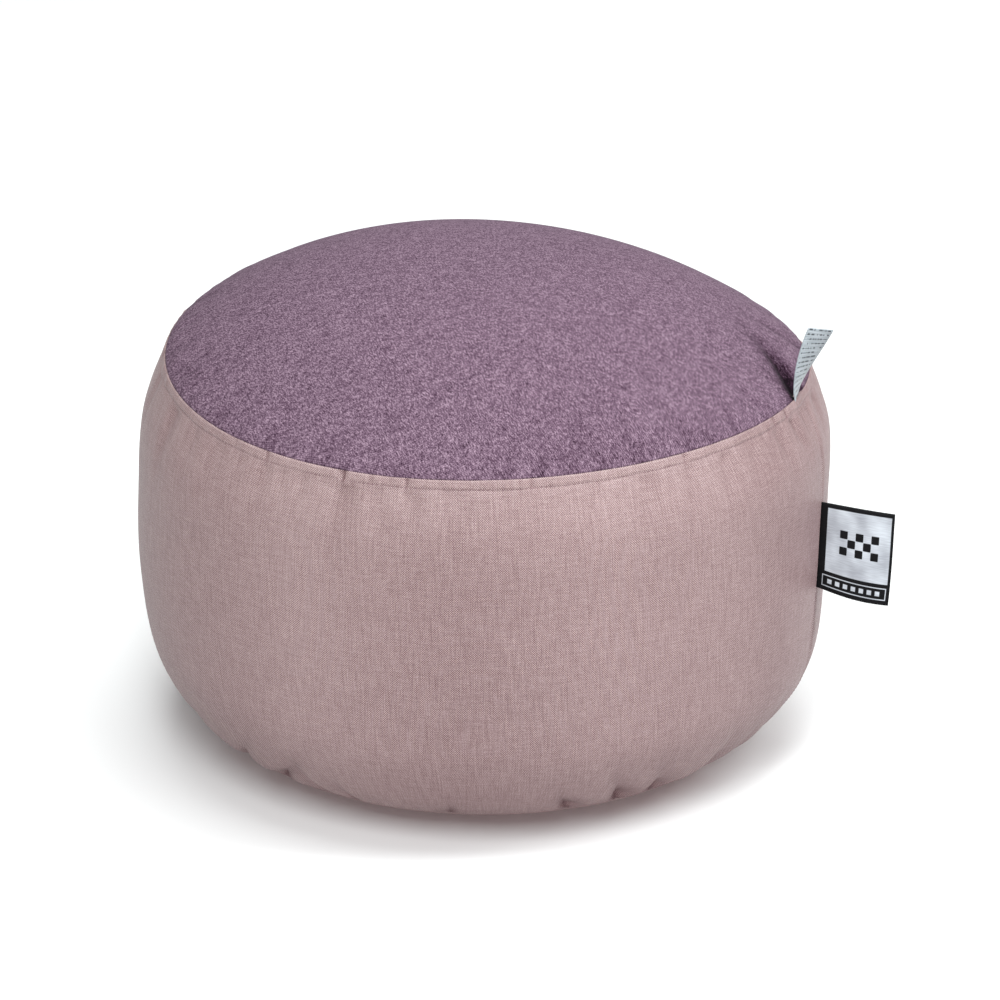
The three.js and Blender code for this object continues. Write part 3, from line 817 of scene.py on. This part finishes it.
def side_seam_relief(azimuth, height, from_top):
    """The upright seam: a groove, and beside it a flat ridge of doubled cloth as wide as its topstitch."""
    behind = turn_between(azimuth, side_seam_azimuth(height))
    groove = SEAM_GROOVE["sink"] * bell(behind / SEAM_GROOVE["half_width"])
    fade_from = -SEAM_RIDGE["fade"] * SEAM_RIDGE["width"]
    ridge = smooth_between(behind, fade_from, -SEAM_RIDGE["width"]) * (behind < 0)
    return (SEAM_RIDGE["rise"] * ridge - groove) * below_rim(from_top)


def band_painted_light_and_tone(azimuth, distance):
    """How much paler or darker the cloth is painted, at a distance up the cloth from the bottom seam.

    Painted highlights and painted shade at the front, painted shade in the gathers, the waves and the slits,
    and paler and darker linen that varies at random round the back.
    """
    tone = np.zeros_like(azimuth)
    for middle, half_width, change in BAND_TONE_AND_PAINTED_LIGHT_STREAKS:
        tone += change * bell(turn_between(azimuth, middle) / half_width)
    from_top = BAND_LENGTH - distance
    tone -= GATHER_SHADE / MM * fold_depth(BOTTOM_GATHERS, azimuth, distance)
    tone -= WAVE_SHADE / MM * fold_depth(BAND_WAVES, azimuth, from_top) * below_rim(from_top)
    slit = np.zeros_like(azimuth)
    for middle, *_, lean in BOTTOM_GATHERS:
        offset = turn_between(azimuth, middle + lean * distance / MM)
        slit = np.maximum(slit, crease_bell(offset / GATHER_SLIT["half_width"]))
    slit *= bell((distance - GATHER_SLIT["low"]) / GATHER_SLIT["reach"]) * GATHER_SLIT["shade"]
    pinch = np.zeros_like(azimuth)
    for middle, depth in PINCHES:
        offset = turn_between(azimuth, middle)
        pinch = np.maximum(pinch, depth * PINCH_SLIT["shade"] * bell(offset / PINCH_SLIT["half_width"]))
    pinch *= smooth_between(rim_width(azimuth) + PINCH_SLIT["past_rim"] - from_top, 0, PINCH_SLIT["past_rim"])
    return tone - slit - pinch


def azimuth_of(points):
    return np.degrees(np.arctan2(points[:, 0], -points[:, 1]))


band_mesh = subdivide_once(side_band)
points = coordinates(band_mesh)
azimuth = azimuth_of(points)
from_top = BAND_LENGTH - kept_value(band_mesh, "climb")
relief = rim_relief(azimuth, from_top) + side_seam_relief(azimuth, points[:, 2], from_top)
relief -= band_folds(azimuth, BAND_LENGTH - from_top)
points += relief[:, None] * vertex_normals(band_mesh)
points[:, 2] += RIM_UPWARD_SHARE * np.maximum(relief, 0) * (from_top < RIM_WIDTH)
move_vertices(band_mesh, points)
# The stored tone holds the band's painted highlights and painted shade, and its random streaks round the
# back.
keep_value(band_mesh, "tone", band_painted_light_and_tone(azimuth, BAND_LENGTH - from_top))

INNER_SHARE = 0.94
INNER_SINK = 7 * MM


def tuck_under_top(point):
    return Vector((point.x * INNER_SHARE, point.y * INNER_SHARE, point.z - INNER_SINK))


def tuck_over_base(point):
    return Vector((point.x * INNER_SHARE, point.y * INNER_SHARE, point.z + INNER_SINK))


print("closed", close_openings(band_mesh, [tuck_over_base, tuck_under_top]), "openings of the band")
shade_smooth(band_mesh)

# %% [markdown]
# ## The top panel
#
# The round panel starts as a square grid. Its square rings are pressed into circles, so the cloth has
# even faces everywhere and a clean circle at the seam. Its gathers and the ripples that the seam presses
# into the cloth are added after the simulation, like the sewing of the band. The real panel was cut with
# its threads turned a little, so the thread directions are turned too.

# %% The top panel
PANEL_STEPS = 120
PANEL_EDGE_POWER = 0.8
PANEL_SLACK = {"reach": 0.16, "most": 0.05}
RIPPLE_DEPTH = 0.22 * MM
RIPPLE_REACH = 22 * MM
WEAVE_TURN = math.radians(18)


def disc_grid(steps):
    """A square grid whose rings are pressed into circles. The seam is at radius 1."""
    bm = bmesh.new()
    bmesh.ops.create_grid(bm, x_segments=steps, y_segments=steps, size=1)
    for vert in bm.verts:
        a, b = vert.co.x, vert.co.y
        reach = max(abs(a), abs(b))
        if reach > 1e-9:
            small, large = (b, a) if abs(a) >= abs(b) else (a, b)
            angle = math.pi / 4 * small / large
            along = math.copysign(reach, large) * math.cos(angle)
            across = math.copysign(reach, large) * math.sin(angle)
            vert.co.x, vert.co.y = (along, across) if abs(a) >= abs(b) else (across, along)
    return bm


top_panel = mesh_piece("top_panel_cloth", disc_grid(PANEL_STEPS))
disc = coordinates(top_panel.data)
reach = np.linalg.norm(disc[:, :2], axis=1)
share = 1 - (1 - np.clip(reach, 0, 1)) ** (1 / PANEL_EDGE_POWER)
panel_azimuth = azimuth_of(disc)
panel_slack = bell((1 - share) / PANEL_SLACK["reach"])
panel_points = crown_form(panel_azimuth, share)
panel_points[:, 2] += SEED_DEPTH * panel_slack * uneven(panel_azimuth, (19, 29, 41, 53, 67), 23) * (share < 1)
move_vertices(top_panel.data, panel_points)
keep_value(top_panel.data, "share", share)
flat = share[:, None] * TOP_SEAM_RADIUS * disc[:, :2] / np.maximum(reach, 1e-9)[:, None]
weave_turn = np.array(Matrix.Rotation(WEAVE_TURN, 2))
write_uv(top_panel.data, (flat @ weave_turn)[corner_vertices(top_panel.data)])

panel_ring = np.round(reach * PANEL_STEPS / 2).astype(int)
panel_pins = (share > 1 - 1e-6) * 1.0
fill_with_pressure(top_panel, panel_pins, panel_slack, PANEL_SLACK["most"], panel_ring)

panel_mesh = subdivide_once(top_panel)
points = coordinates(panel_mesh)
azimuth = azimuth_of(points)
distance = (1 - kept_value(panel_mesh, "share")) * TOP_SEAM_RADIUS
wrinkles = fold_depth(TOP_GATHERS, azimuth, distance)
wrinkles += RIPPLE_DEPTH * uneven(azimuth, (53, 71, 97, 133, 157), 11) * bell(distance / RIPPLE_REACH)
lift = 1 - np.exp(-distance / PUFF_REACH)
points -= (wrinkles * lift)[:, None] * vertex_normals(panel_mesh)
move_vertices(panel_mesh, points)
keep_value(panel_mesh, "tone", top_tone(azimuth, distance))
print("closed", close_openings(panel_mesh, [tuck_under_top]), "opening of the top panel")
shade_smooth(panel_mesh)

# %% [markdown]
# ## The base panel
#
# The base is a round panel of the same pink cloth. It rests flat on the floor and curls up to the bottom
# seam. Little of it shows, so a drum of few rows, pulled in to the middle, is enough.

# %% The base panel
BASE_OUTLINE = [
    (FLOOR_RADIUS, 0),
    (192 * MM, 4.6 * MM),
    (204 * MM, 10.4 * MM),
    (211.5 * MM, 14.2 * MM),
    (BOTTOM_SEAM_RADIUS, BOTTOM_SEAM_HEIGHT),
]
BASE_FLAT_RADII = (0.05, 0.09, 0.13, 0.16)
BASE_COLUMNS = 480
BASE_HOLE_SHARE = 0.5

base_curve, base_lengths = smooth_outline(BASE_OUTLINE, 4)
base_rows = np.array([*BASE_FLAT_RADII, *(FLOOR_RADIUS + base_lengths)])
base_panel = mesh_piece("base_panel_cloth", spun_drum(base_rows, BASE_COLUMNS))
drum = coordinates(base_panel.data)
base_azimuth = np.degrees(np.arctan2(drum[:, 1], drum[:, 0]))
base_reach = drum[:, 2]
base_radius = np.interp(base_reach, base_rows, [*BASE_FLAT_RADII, *base_curve[:, 0]])
base_height = np.interp(base_reach, base_rows, [*[0] * len(BASE_FLAT_RADII), *base_curve[:, 1]])
seam_pull = evened_folds(BOTTOM_GATHERS, base_azimuth, np.zeros(len(drum)), crease_bell) * GATHER_START
base_radius = base_radius - seam_pull * smooth_between(base_radius, FLOOR_RADIUS, BOTTOM_SEAM_RADIUS)
move_vertices(base_panel.data, round_point(base_azimuth, base_radius, base_height))
base_uv = coordinates(base_panel.data)[:, :2] * (base_reach / base_radius)[:, None]
write_uv(base_panel.data, base_uv[corner_vertices(base_panel.data)])


def flat_middle(point):
    return Vector((point.x * BASE_HOLE_SHARE, point.y * BASE_HOLE_SHARE, 0))


print("closed", close_openings(base_panel.data, [flat_middle, tuck_over_base]), "openings of the base")
shade_smooth(base_panel.data)

# %% [markdown]
# ## Stitches
#
# The topstitches are mauve-grey thread, 3.6 mm apart. Each one is a little pill that dips into the cloth
# at both ends, so the row reads as a dashed line. There are hundreds, so each has only a few faces.

# %% Stitches
STITCH_PITCH = 3.6 * MM
STITCH_LENGTH = 2.1 * MM
STITCH_THICKNESS = 0.6 * MM
STITCH_SINK = 0.1 * MM
SIDE_STITCHES = {"offset": 1.3, "low": 6 * MM, "past_rim": 2 * MM}
LINE_POINTS = {"rim": 1441, "side": 200}


def add_stitch(bm, middle, ahead, up):
    """One pill-shaped stitch at a point, along the way ahead and flattened against the cloth."""
    side = up.cross(ahead).normalized()
    ahead = side.cross(up).normalized()
    turn = Matrix((ahead, side, up.normalized())).transposed().to_4x4()
    size = Matrix.Diagonal((STITCH_LENGTH / 2, STITCH_THICKNESS / 2, STITCH_THICKNESS / 2, 1))
    place = Matrix.Translation(middle) @ turn @ size
    bmesh.ops.create_icosphere(bm, subdivisions=1, radius=1, matrix=place)


def stitch_row(name, points, normals):
    """A row of stitches along a line of points, a pitch apart."""
    bm = bmesh.new()
    gaps = np.linalg.norm(np.diff(points, axis=0), axis=1)
    along = np.concatenate([[0], np.cumsum(gaps)])
    count = int(along[-1] / STITCH_PITCH)
    for place in (np.arange(count) + 0.5) * along[-1] / count:
        at = [np.interp(place, along, points[:, axis]) for axis in range(3)]
        step = STITCH_LENGTH / 2
        ahead = [np.interp(place + step, along, points[:, axis]) - at[axis] for axis in range(3)]
        up = Vector([np.interp(place, along, normals[:, axis]) for axis in range(3)])
        add_stitch(bm, Vector(at) - STITCH_SINK * up, Vector(ahead), up)
    row = mesh_piece(name, bm)
    shade_smooth(row.data)
    print(name, "has", count, "stitches")
    return row


def seat_on(piece, points):
    """The nearest points of a finished piece and its outward normals there."""
    tree = BVHTree.FromPolygons(
        [vert.co for vert in piece.data.vertices], [face.vertices for face in piece.data.polygons]
    )
    found = [tree.find_nearest(Vector(point)) for point in points]
    return np.array([hit[0] for hit in found]), np.array([hit[1] for hit in found])


round_line = np.linspace(-180, 180, LINE_POINTS["rim"])
stitch_climb = BAND_LENGTH - rim_width(round_line)
rim_line, rim_normals = seat_on(side_band, band_form(round_line, stitch_climb))
rim_stitches = stitch_row("rim_stitches", rim_line, rim_normals)

highest = BAND_LENGTH - RIM_WIDTH - SIDE_STITCHES["past_rim"]
seam_climb = np.linspace(SIDE_STITCHES["low"], highest, LINE_POINTS["side"])
seam_level = np.interp(seam_climb, band_lengths, band_curve[:, 1])
seam_azimuth = side_seam_azimuth(seam_level) - SIDE_STITCHES["offset"]
seam_line, seam_normals = seat_on(side_band, band_form(seam_azimuth, seam_climb))
side_stitches = stitch_row("side_seam_stitches", seam_line, seam_normals)

# %% [markdown]
# ## The side label
#
# This is a woven label of black and silver, sewn into the upright seam by one edge. It stands out to the
# right and droops a little, more at its lower edge. It is a sheet: a grid bent to its place, then given
# the thickness of a folded damask ribbon.

# %% The side label
SIDE_LABEL = {
    "low": 146 * MM, "high": 214 * MM, "width": 57.5 * MM, "thickness": 1.0 * MM, "droop": 8.5 * MM,
    "top_turn": -9, "bottom_turn": 2, "tucked": 0.04, "bow": 2.5 * MM, "droop_power": 1.2,
}


def band_climb_at(azimuth, height, steps=400):
    """How far up the cloth the band reaches a height."""
    climbs = np.linspace(0, BAND_LENGTH, steps)
    heights = band_form(np.full(steps, azimuth), climbs)[:, 2]
    return np.interp(height, heights, climbs)


def side_label_point(u, v):
    """A point of the label: u runs out from the seam and v runs up, both from 0 to 1."""
    label = SIDE_LABEL
    height = label["low"] + (label["high"] - label["low"]) * v
    azimuth = float(side_seam_azimuth(height))
    climb = float(band_climb_at(azimuth, height))
    root = band_form(np.array([azimuth]), np.array([climb]))[0]
    turn = math.radians(label["bottom_turn"] + (label["top_turn"] - label["bottom_turn"]) * v) * u
    angle = math.radians(azimuth)
    out = np.array([math.sin(angle), -math.cos(angle), 0])
    around = np.array([math.cos(angle), math.sin(angle), 0])
    away = out * math.cos(turn) - around * math.sin(turn)
    point = root + away * label["width"] * u - around * label["bow"] * math.sin(math.pi * max(0, u)) * (1 - v)
    straight, bowed = max(0, u) ** label["droop_power"], math.sin(math.pi / 2 * max(0, u))
    point[2] = height - label["droop"] * (straight * v + bowed * (1 - v))
    return point


def bent_sheet(name, point_at, steps, thickness, size, u_from=0.0):
    """A flat grid, each vertex moved to its place on the bent sheet, then made solid."""
    bm = bmesh.new()
    bmesh.ops.create_grid(bm, x_segments=steps[0], y_segments=steps[1], size=0.5)
    threads = bm.loops.layers.uv.new("threads")
    for face in bm.faces:
        for loop in face.loops:
            u, v = loop.vert.co.x + 0.5, loop.vert.co.y + 0.5
            loop[threads].uv = ((u_from + (1 - u_from) * u) * size[0], v * size[1])
    for vert in bm.verts:
        u, v = vert.co.x + 0.5, vert.co.y + 0.5
        vert.co = point_at(u_from + (1 - u_from) * u, v)
    bm.normal_update()
    bmesh.ops.solidify(bm, geom=bm.faces[:], thickness=thickness)
    bmesh.ops.recalc_face_normals(bm, faces=bm.faces)
    sheet = mesh_piece(name, bm)
    shade_smooth(sheet.data)
    return sheet


label_height = SIDE_LABEL["high"] - SIDE_LABEL["low"]
side_label = bent_sheet(
    "side_label_weave", side_label_point, (34, 36), SIDE_LABEL["thickness"],
    (SIDE_LABEL["width"], label_height), u_from=-SIDE_LABEL["tucked"],
)
print("side label is", SIDE_LABEL["width"], "by", label_height, "m")

# %% [markdown]
# ## The care label
#
# A narrow satin tape is folded double and sewn into the top seam by its ends. It stands up in the crease
# of the top panel, twists to the front as it rises and leans outwards.

# %% The care label
CARE_LABEL = {
    "azimuth": 73.4, "width": 19.5 * MM, "length": 58 * MM, "thickness": 0.8 * MM,
    "turn": 84, "lean_x": 17 * MM, "lean_start": 0.12, "lean_power": 1.25, "top_slope": -0.12,
    "tucked": 4 * MM, "tuck_power": 6,
}


def care_label_point(u, v):
    """A point of the tape: u runs across it and v runs up from its seam, both from 0 to 1."""
    tape = CARE_LABEL
    azimuth = np.array([tape["azimuth"]])
    middle = top_seam_point(azimuth)[0]
    lean = max(0, v - tape["lean_start"]) / (1 - tape["lean_start"])
    rise = math.sqrt(tape["length"] ** 2 - tape["lean_x"] ** 2)
    middle[0] += tape["lean_x"] * lean ** tape["lean_power"]
    middle[2] += rise * v - tape["tucked"] * (1 - v) ** tape["tuck_power"]
    turn = math.radians(tape["turn"] * (1 - v))
    across = np.array([math.cos(turn), math.sin(turn), 0])
    seam_rise = (top_seam_height(azimuth + 2) - top_seam_height(azimuth - 2))[0]
    seam_slope = seam_rise / (top_seam_radius(azimuth)[0] * math.radians(4))
    slope = seam_slope + (tape["top_slope"] - seam_slope) * v
    aside = tape["width"] * (u - 0.5)
    return middle + across * aside + np.array([0, 0, slope * aside])


care_label = bent_sheet(
    "care_label_tape", care_label_point, (10, 40), CARE_LABEL["thickness"],
    (CARE_LABEL["width"], CARE_LABEL["length"]),
)
print("care label is", CARE_LABEL["width"], "by", CARE_LABEL["length"], "m")

# %% [markdown]
# ## Short calls for materials
#
# Every finish here is made of a few sums on the cloth's own coordinates, and each step of a sum is a node.
# An amount stands for a number that differs over the cloth, so that a material reads like the sum that it
# is. A finish holds the material and adds the nodes that aren't sums.

# %% Amounts that differ over the cloth
class Amount:
    """A number that differs over the cloth. Each sum with it adds a node."""

    def __init__(self, tree, socket):
        self.tree = tree
        self.socket = socket

    def work(self, operation, *values):
        node = add_node(self.tree, "Math", dict(enumerate(values)), operation=operation)
        return Amount(self.tree, node.outputs[0])

    def __add__(self, other):
        return self.work("ADD", self, other)

    def __sub__(self, other):
        return self.work("SUBTRACT", self, other)

    def __rsub__(self, other):
        return self.work("SUBTRACT", other, self)

    def __mul__(self, other):
        return self.work("MULTIPLY", self, other)

    def __truediv__(self, other):
        return self.work("DIVIDE", self, other)

    def or_more(self, other):
        """The larger of two amounts."""
        return self.work("MAXIMUM", self, other)

    def clipped(self):
        """Never below 0 or above 1."""
        return self.work("MINIMUM", self, 1.0).or_more(0.0)

    def wave(self, length):
        """A sine that crosses 0 once in each length."""
        return self.work("SINE", self * (math.pi / length))

    def zigzag(self, length):
        """Up and down between 0 and half a length."""
        return self.work("PINGPONG", self, length / 2)

    def centred(self, weight):
        """From 0 to 1, turned to run from minus to plus half its weight."""
        return (self - 0.5) * weight

    def between(self, low, high, soft=0.25 * MM):
        """1 where the amount lies between low and high, with soft edges."""
        rise, fall = (self - low) / soft, (high - self) / soft
        return self.work("MINIMUM", rise, fall).clipped()


print("an amount knows:", ", ".join(name for name in vars(Amount) if name[0] != "_"))

# %% Finishes
SHEAR = 0.37


class Finish:
    """One material, and short calls that add its nodes."""

    def __init__(self, name, surface):
        self.material = bpy.data.materials.new(name)
        self.material.use_nodes = True
        self.tree = self.material.node_tree
        self.shader = self.tree.nodes["Principled BSDF"]
        feed(self.tree, self.shader, surface)

    def threads(self):
        """The u and v of the cloth, in metres."""
        source = add_node(self.tree, "UVMap", {}, uv_map="threads")
        split = add_node(self.tree, "SeparateXYZ", {0: source.outputs["UV"]})
        return Amount(self.tree, split.outputs["X"]), Amount(self.tree, split.outputs["Y"])

    def stored(self, name):
        """A value that the mesh keeps at its vertices; 0 where a mesh has none."""
        source = add_node(self.tree, "Attribute", {}, attribute_name=name)
        return Amount(self.tree, source.outputs["Fac"])

    def noise(self, u, v, width, height, detail=1.0, offset=0.0):
        """A noise whose grains are width by height metres on the cloth, from 0 to 1.

        Long grains are sheared a little, so that they don't end side by side.
        """
        across, along = u * (1 / width), v * (1 / height)
        if width > height:
            across = along * SHEAR + across
        elif height > width:
            along = across * SHEAR + along
        place = add_node(self.tree, "CombineXYZ", {0: across, 1: along, 2: offset})
        inputs = {"Vector": place.outputs[0], "Scale": 1, "Detail": detail}
        return Amount(self.tree, add_node(self.tree, "TexNoise", inputs).outputs["Fac"])

    def grain_tone(self, u, v, grains):
        """One half, and the sum of a table of noises. A row ends with the weight of its noise."""
        total = 0.5
        for width, height, detail, offset, weight in grains.values():
            total = self.noise(u, v, width, height, detail, offset).centred(weight) + total
        return total

    def ramp(self, value, stops):
        node = add_node(self.tree, "ValToRGB", {0: value})
        elements = node.color_ramp.elements
        for _ in stops[2:]:
            elements.new(0.5)
        for element, (place, colour) in zip(elements, stops):
            element.position = place
            element.color = srgb(*colour)
        return node.outputs["Color"]

    def mix(self, share, first, second):
        inputs = {"Factor": share, "A": first, "B": second}
        return add_node(self.tree, "Mix", inputs, data_type="RGBA").outputs["Result"]

    def done(self, colour, height=None, strength=0, distance=0):
        """Join the colour and the bump to the shader."""
        feed(self.tree, self.shader, {"Base Color": colour})
        if height:
            inputs = {"Height": height, "Strength": strength, "Distance": distance}
            bump = add_node(self.tree, "Bump", inputs)
            feed(self.tree, self.shader, {"Normal": bump.outputs["Normal"]})
        print(self.material.name, "has", len(self.tree.nodes), "nodes")
        return self.material


def srgb(red, green, blue):
    """A colour as it looks on screen, 0 to 255, as the linear colour that a shader takes."""
    values = []
    for part in (red, green, blue):
        part /= 255
        values.append(part / 12.92 if part <= 0.04045 else ((part + 0.055) / 1.055) ** 2.4)
    return (*values, 1)


print("a screen grey of 128 is", round(srgb(128, 128, 128)[0], 3), "in linear light")

# %% [markdown]
# ## Dusty pink linen-look cloth
#
# The band is a plain weave of uneven yarns. Each warp yarn keeps its own tone for a few centimetres up the
# cloth and each weft yarn along it, with slubs where it thickens. Warp and weft take turns on top,
# which two sines give. Noise that is stretched along the yarn gives its tone.

# %% Dusty pink linen-look cloth
YARN = 0.9 * MM
# Width and height of a grain, detail, place in the noise, and weight in the tone
PINK_GRAINS = {
    "warp": (0.9 * YARN, 26 * MM, 1, 0, 0.5),
    "weft": (12 * MM, 0.9 * YARN, 1, 7.3, 0.3),
    "slubs": (0.7 * MM, 0.7 * MM, 1, 1.9, 1.1),
    "mottle": (4 * MM, 6 * MM, 2, 3.3, 0.14),
}
WEAVE_WEIGHT = 0.95
PINK_STOPS = [(0.0, (88, 56, 60)), (0.5, (152, 126, 127)), (1.0, (208, 189, 187))]


def pink_linen():
    cloth = Finish("dusty_pink_linen", {"Roughness": 0.48, "Specular IOR Level": 0.34})
    u, v = cloth.threads()
    over = u.wave(YARN) * v.wave(YARN) * 0.5 + 0.5
    # The stored tone adds the band's painted highlights and painted shade to the cloth's own tone.
    tone = cloth.grain_tone(u, v, PINK_GRAINS) + over.centred(WEAVE_WEIGHT) + cloth.stored("tone")
    return cloth.done(cloth.ramp(tone, PINK_STOPS), over + tone, strength=0.25, distance=0.2 * MM)


pink_cloth = pink_linen()

# %% [markdown]
# ## Mauve brushed cloth
#
# The top is a brushed heather: short fibres of light and dark mauve that hide the weave and catch a soft
# sheen. Speckles and short fibres of one to two millimetres give the heather, and faint larger patches
# show where the nap lies another way.

# %% Mauve brushed cloth
MAUVE_YARN = 0.75 * MM
MAUVE_GRAINS = {
    "speckle": (0.9 * MM, 0.9 * MM, 1, 0, 0.75),
    "fibre": (1.1 * MM, 2.4 * MM, 1, 4.2, 0.7),
    "clumps": (2.6 * MM, 2.6 * MM, 1, 2.4, 0.3),
    "nap": (9 * MM, 7 * MM, 2, 8.8, 0.2),
}
HIDDEN_WEAVE_WEIGHT = 0.12
# The near-black first stop is painted shade: the stored tone of the deep crease takes the colour down to it.
MAUVE_STOPS = [(0.0, (12, 5, 11)), (0.2, (47, 27, 42)), (0.5, (103, 81, 98)), (0.85, (168, 144, 160))]
MAUVE_SURFACE = {"Roughness": 0.95, "Specular IOR Level": 0.08, "Sheen Weight": 0.03, "Sheen Roughness": 0.45}


def mauve_heather():
    cloth = Finish("mauve_heather", MAUVE_SURFACE)
    u, v = cloth.threads()
    weave = u.wave(MAUVE_YARN) * v.wave(MAUVE_YARN) * HIDDEN_WEAVE_WEIGHT
    # The stored tone adds the painted shade of the crease and of the gathers.
    tone = weave + cloth.grain_tone(u, v, MAUVE_GRAINS) + cloth.stored("tone")
    return cloth.done(cloth.ramp(tone, MAUVE_STOPS), tone, strength=0.4, distance=0.4 * MM)


mauve_cloth = mauve_heather()

# %% [markdown]
# ## Sewing thread
#
# The thread is a plain mauve grey, a little paler and darker along each stitch as its twist turns. At its
# size a fine noise on the object's own coordinates is enough for that.

# %% Sewing thread
TWIST_SCALE = 900
THREAD_STOPS = [(0.3, (112, 80, 91)), (0.7, (144, 112, 122))]


def stitch_thread():
    finish = Finish("mauve_grey_thread", {"Roughness": 0.6, "Specular IOR Level": 0.3})
    place = add_node(finish.tree, "TexCoord", {}).outputs["Object"]
    twist = add_node(finish.tree, "TexNoise", {"Vector": place, "Scale": TWIST_SCALE})
    return finish.done(finish.ramp(twist.outputs["Fac"], THREAD_STOPS))


thread = stitch_thread()

# %% [markdown]
# ## Woven label
#
# The label is black damask with a silver satin field. The field carries a plain block of checks, and a
# thin frame round silver dashes fills the lower border. All of it is woven, so it is drawn with soft edges
# in the label's own millimetres, on the same ribs as the ground.

# %% Woven label
FIELD = {"left": 4.9 * MM, "right": 2.1 * MM, "top": 3.4 * MM, "bottom": 15 * MM}
CHECK = {"size": 6.2 * MM, "columns": 5, "rows": 3, "middle": (31 * MM, 40 * MM), "sharpness": 40.0}
FRAME = {"left": 3.2 * MM, "right": 2.6 * MM, "low": 3.2 * MM, "high": 12.4 * MM, "line": 0.7 * MM}
DASHES = {"pitch": 6.4 * MM, "long": 3.8 * MM, "low": 6 * MM, "high": 9.6 * MM, "margin": 6 * MM}
SILVER_STOPS = [(0.2, (158, 162, 170)), (0.8, (206, 213, 220))]
BLACK_STOPS = [(0.3, (6, 6, 8)), (0.7, (19, 18, 21))]


def inside(u, v, left, right, low, high):
    """1 inside a rectangle of the cloth, with soft edges."""
    return u.between(left, right) * v.between(low, high)


def check_motif(u, v):
    """A block of black and silver checks: 1 where it is black."""
    size, (middle_u, middle_v) = CHECK["size"], CHECK["middle"]
    left, right = (middle_u + side * CHECK["columns"] * size / 2 for side in (-1, 1))
    low, high = (middle_v + side * CHECK["rows"] * size / 2 for side in (-1, 1))
    swing = (u - left).wave(size) * (v - low).wave(size)
    return (swing * CHECK["sharpness"]).clipped() * inside(u, v, left, right, low, high)


def framed_dashes(u, v, wide):
    """A thin silver frame in the lower border, and a row of silver dashes in it."""
    left, right, line = FRAME["left"], wide - FRAME["right"], FRAME["line"]
    low, high = FRAME["low"], FRAME["high"]
    outer = inside(u, v, left, right, low, high)
    inner = inside(u, v, left + line, right - line, low + line, high - line)
    dashes = (u - wide / 2).zigzag(DASHES["pitch"]).between(-MM, DASHES["long"] / 2)
    row = inside(u, v, DASHES["margin"], wide - DASHES["margin"], DASHES["low"], DASHES["high"])
    return (outer - inner).or_more(dashes * row)


def woven_label():
    weave = Finish("black_silver_weave", {"Roughness": 0.6, "Specular IOR Level": 0.12})
    u, v = weave.threads()
    wide = SIDE_LABEL["width"]
    field = inside(u, v, FIELD["left"], wide - FIELD["right"], FIELD["bottom"], label_height - FIELD["top"])
    silver = (field * (1.0 - check_motif(u, v))).or_more(framed_dashes(u, v, wide))
    ribs = weave.noise(u, v, width=9 * MM, height=0.5 * MM, detail=0.0)
    shine = weave.noise(u, v, width=16 * MM, height=22 * MM, offset=5.1)
    silver_tone = weave.ramp(ribs.centred(0.5) + (shine.centred(1.2) + 0.5), SILVER_STOPS)
    colour = weave.mix(silver, weave.ramp(ribs, BLACK_STOPS), silver_tone)
    return weave.done(colour, ribs, strength=0.3, distance=0.15 * MM)


black_silver_weave = woven_label()

# %% [markdown]
# ## Satin tape
#
# The care label is pale satin, whose fine ribs run across it, with rows of small dark dashes. A stretched
# noise, cut off at one level, breaks each row into dashes of uneven length.

# %% Satin tape
TAPE_PRINT = {"row": 3.8 * MM, "bold": 1.5 * MM, "side": 1.2 * MM, "cut": 0.47, "blur": 0.03}
SATIN_STOPS = [(0.3, (146, 156, 161)), (0.7, (184, 193, 199))]
PRINT_GREY = (62, 66, 72)


def satin_tape():
    tape = Finish("white_satin_tape", {"Roughness": 0.4, "Specular IOR Level": 0.4})
    u, v = tape.threads()
    bars = v.zigzag(TAPE_PRINT["row"]).between(-MM, TAPE_PRINT["bold"] / 2)
    pieces = tape.noise(u, v, width=1.3 * MM, height=9 * MM, offset=2.2)
    dashes = pieces.between(TAPE_PRINT["cut"], 1.0, TAPE_PRINT["blur"])
    margin = u.between(TAPE_PRINT["side"], CARE_LABEL["width"] - TAPE_PRINT["side"])
    satin = tape.noise(u, v, width=12 * MM, height=0.6 * MM, detail=0.0)
    colour = tape.mix(bars * dashes * margin, tape.ramp(satin, SATIN_STOPS), srgb(*PRINT_GREY))
    return tape.done(colour, satin, strength=0.2, distance=0.1 * MM)


white_satin_tape = satin_tape()

# %% [markdown]
# ## Hand each piece its finish and its place in the frame
#
# Every piece rides on the one body of the packed model. The cloths and the labels stand for their solids,
# which stay underneath for the physics. The stitches are extra pieces on top of the band.

# %% Hand over
# Piece, its finish, the record's name for that finish, and the node that it stands for
PIECES = [
    (top_panel, mauve_cloth, "mauve_cloth", "top_panel"),
    (side_band, pink_cloth, "pink_cloth", "side_band"),
    (base_panel, pink_cloth, "pink_cloth", "base_panel"),
    (side_label, black_silver_weave, "woven_label", "side_label"),
    (care_label, white_satin_tape, "satin_tape", "care_label"),
    (rim_stitches, thread, "pink_cloth", None),
    (side_stitches, thread, "pink_cloth", None),
]
for piece, finish, slot, node in PIECES:
    piece.data.materials.append(finish)
    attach(piece, "root")
    if node:
        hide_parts(node)

# %% Sizes of the meshes
for piece, *_ in PIECES:
    piece.data.calc_loop_triangles()
    print(piece.name, len(piece.data.loop_triangles), "triangles")
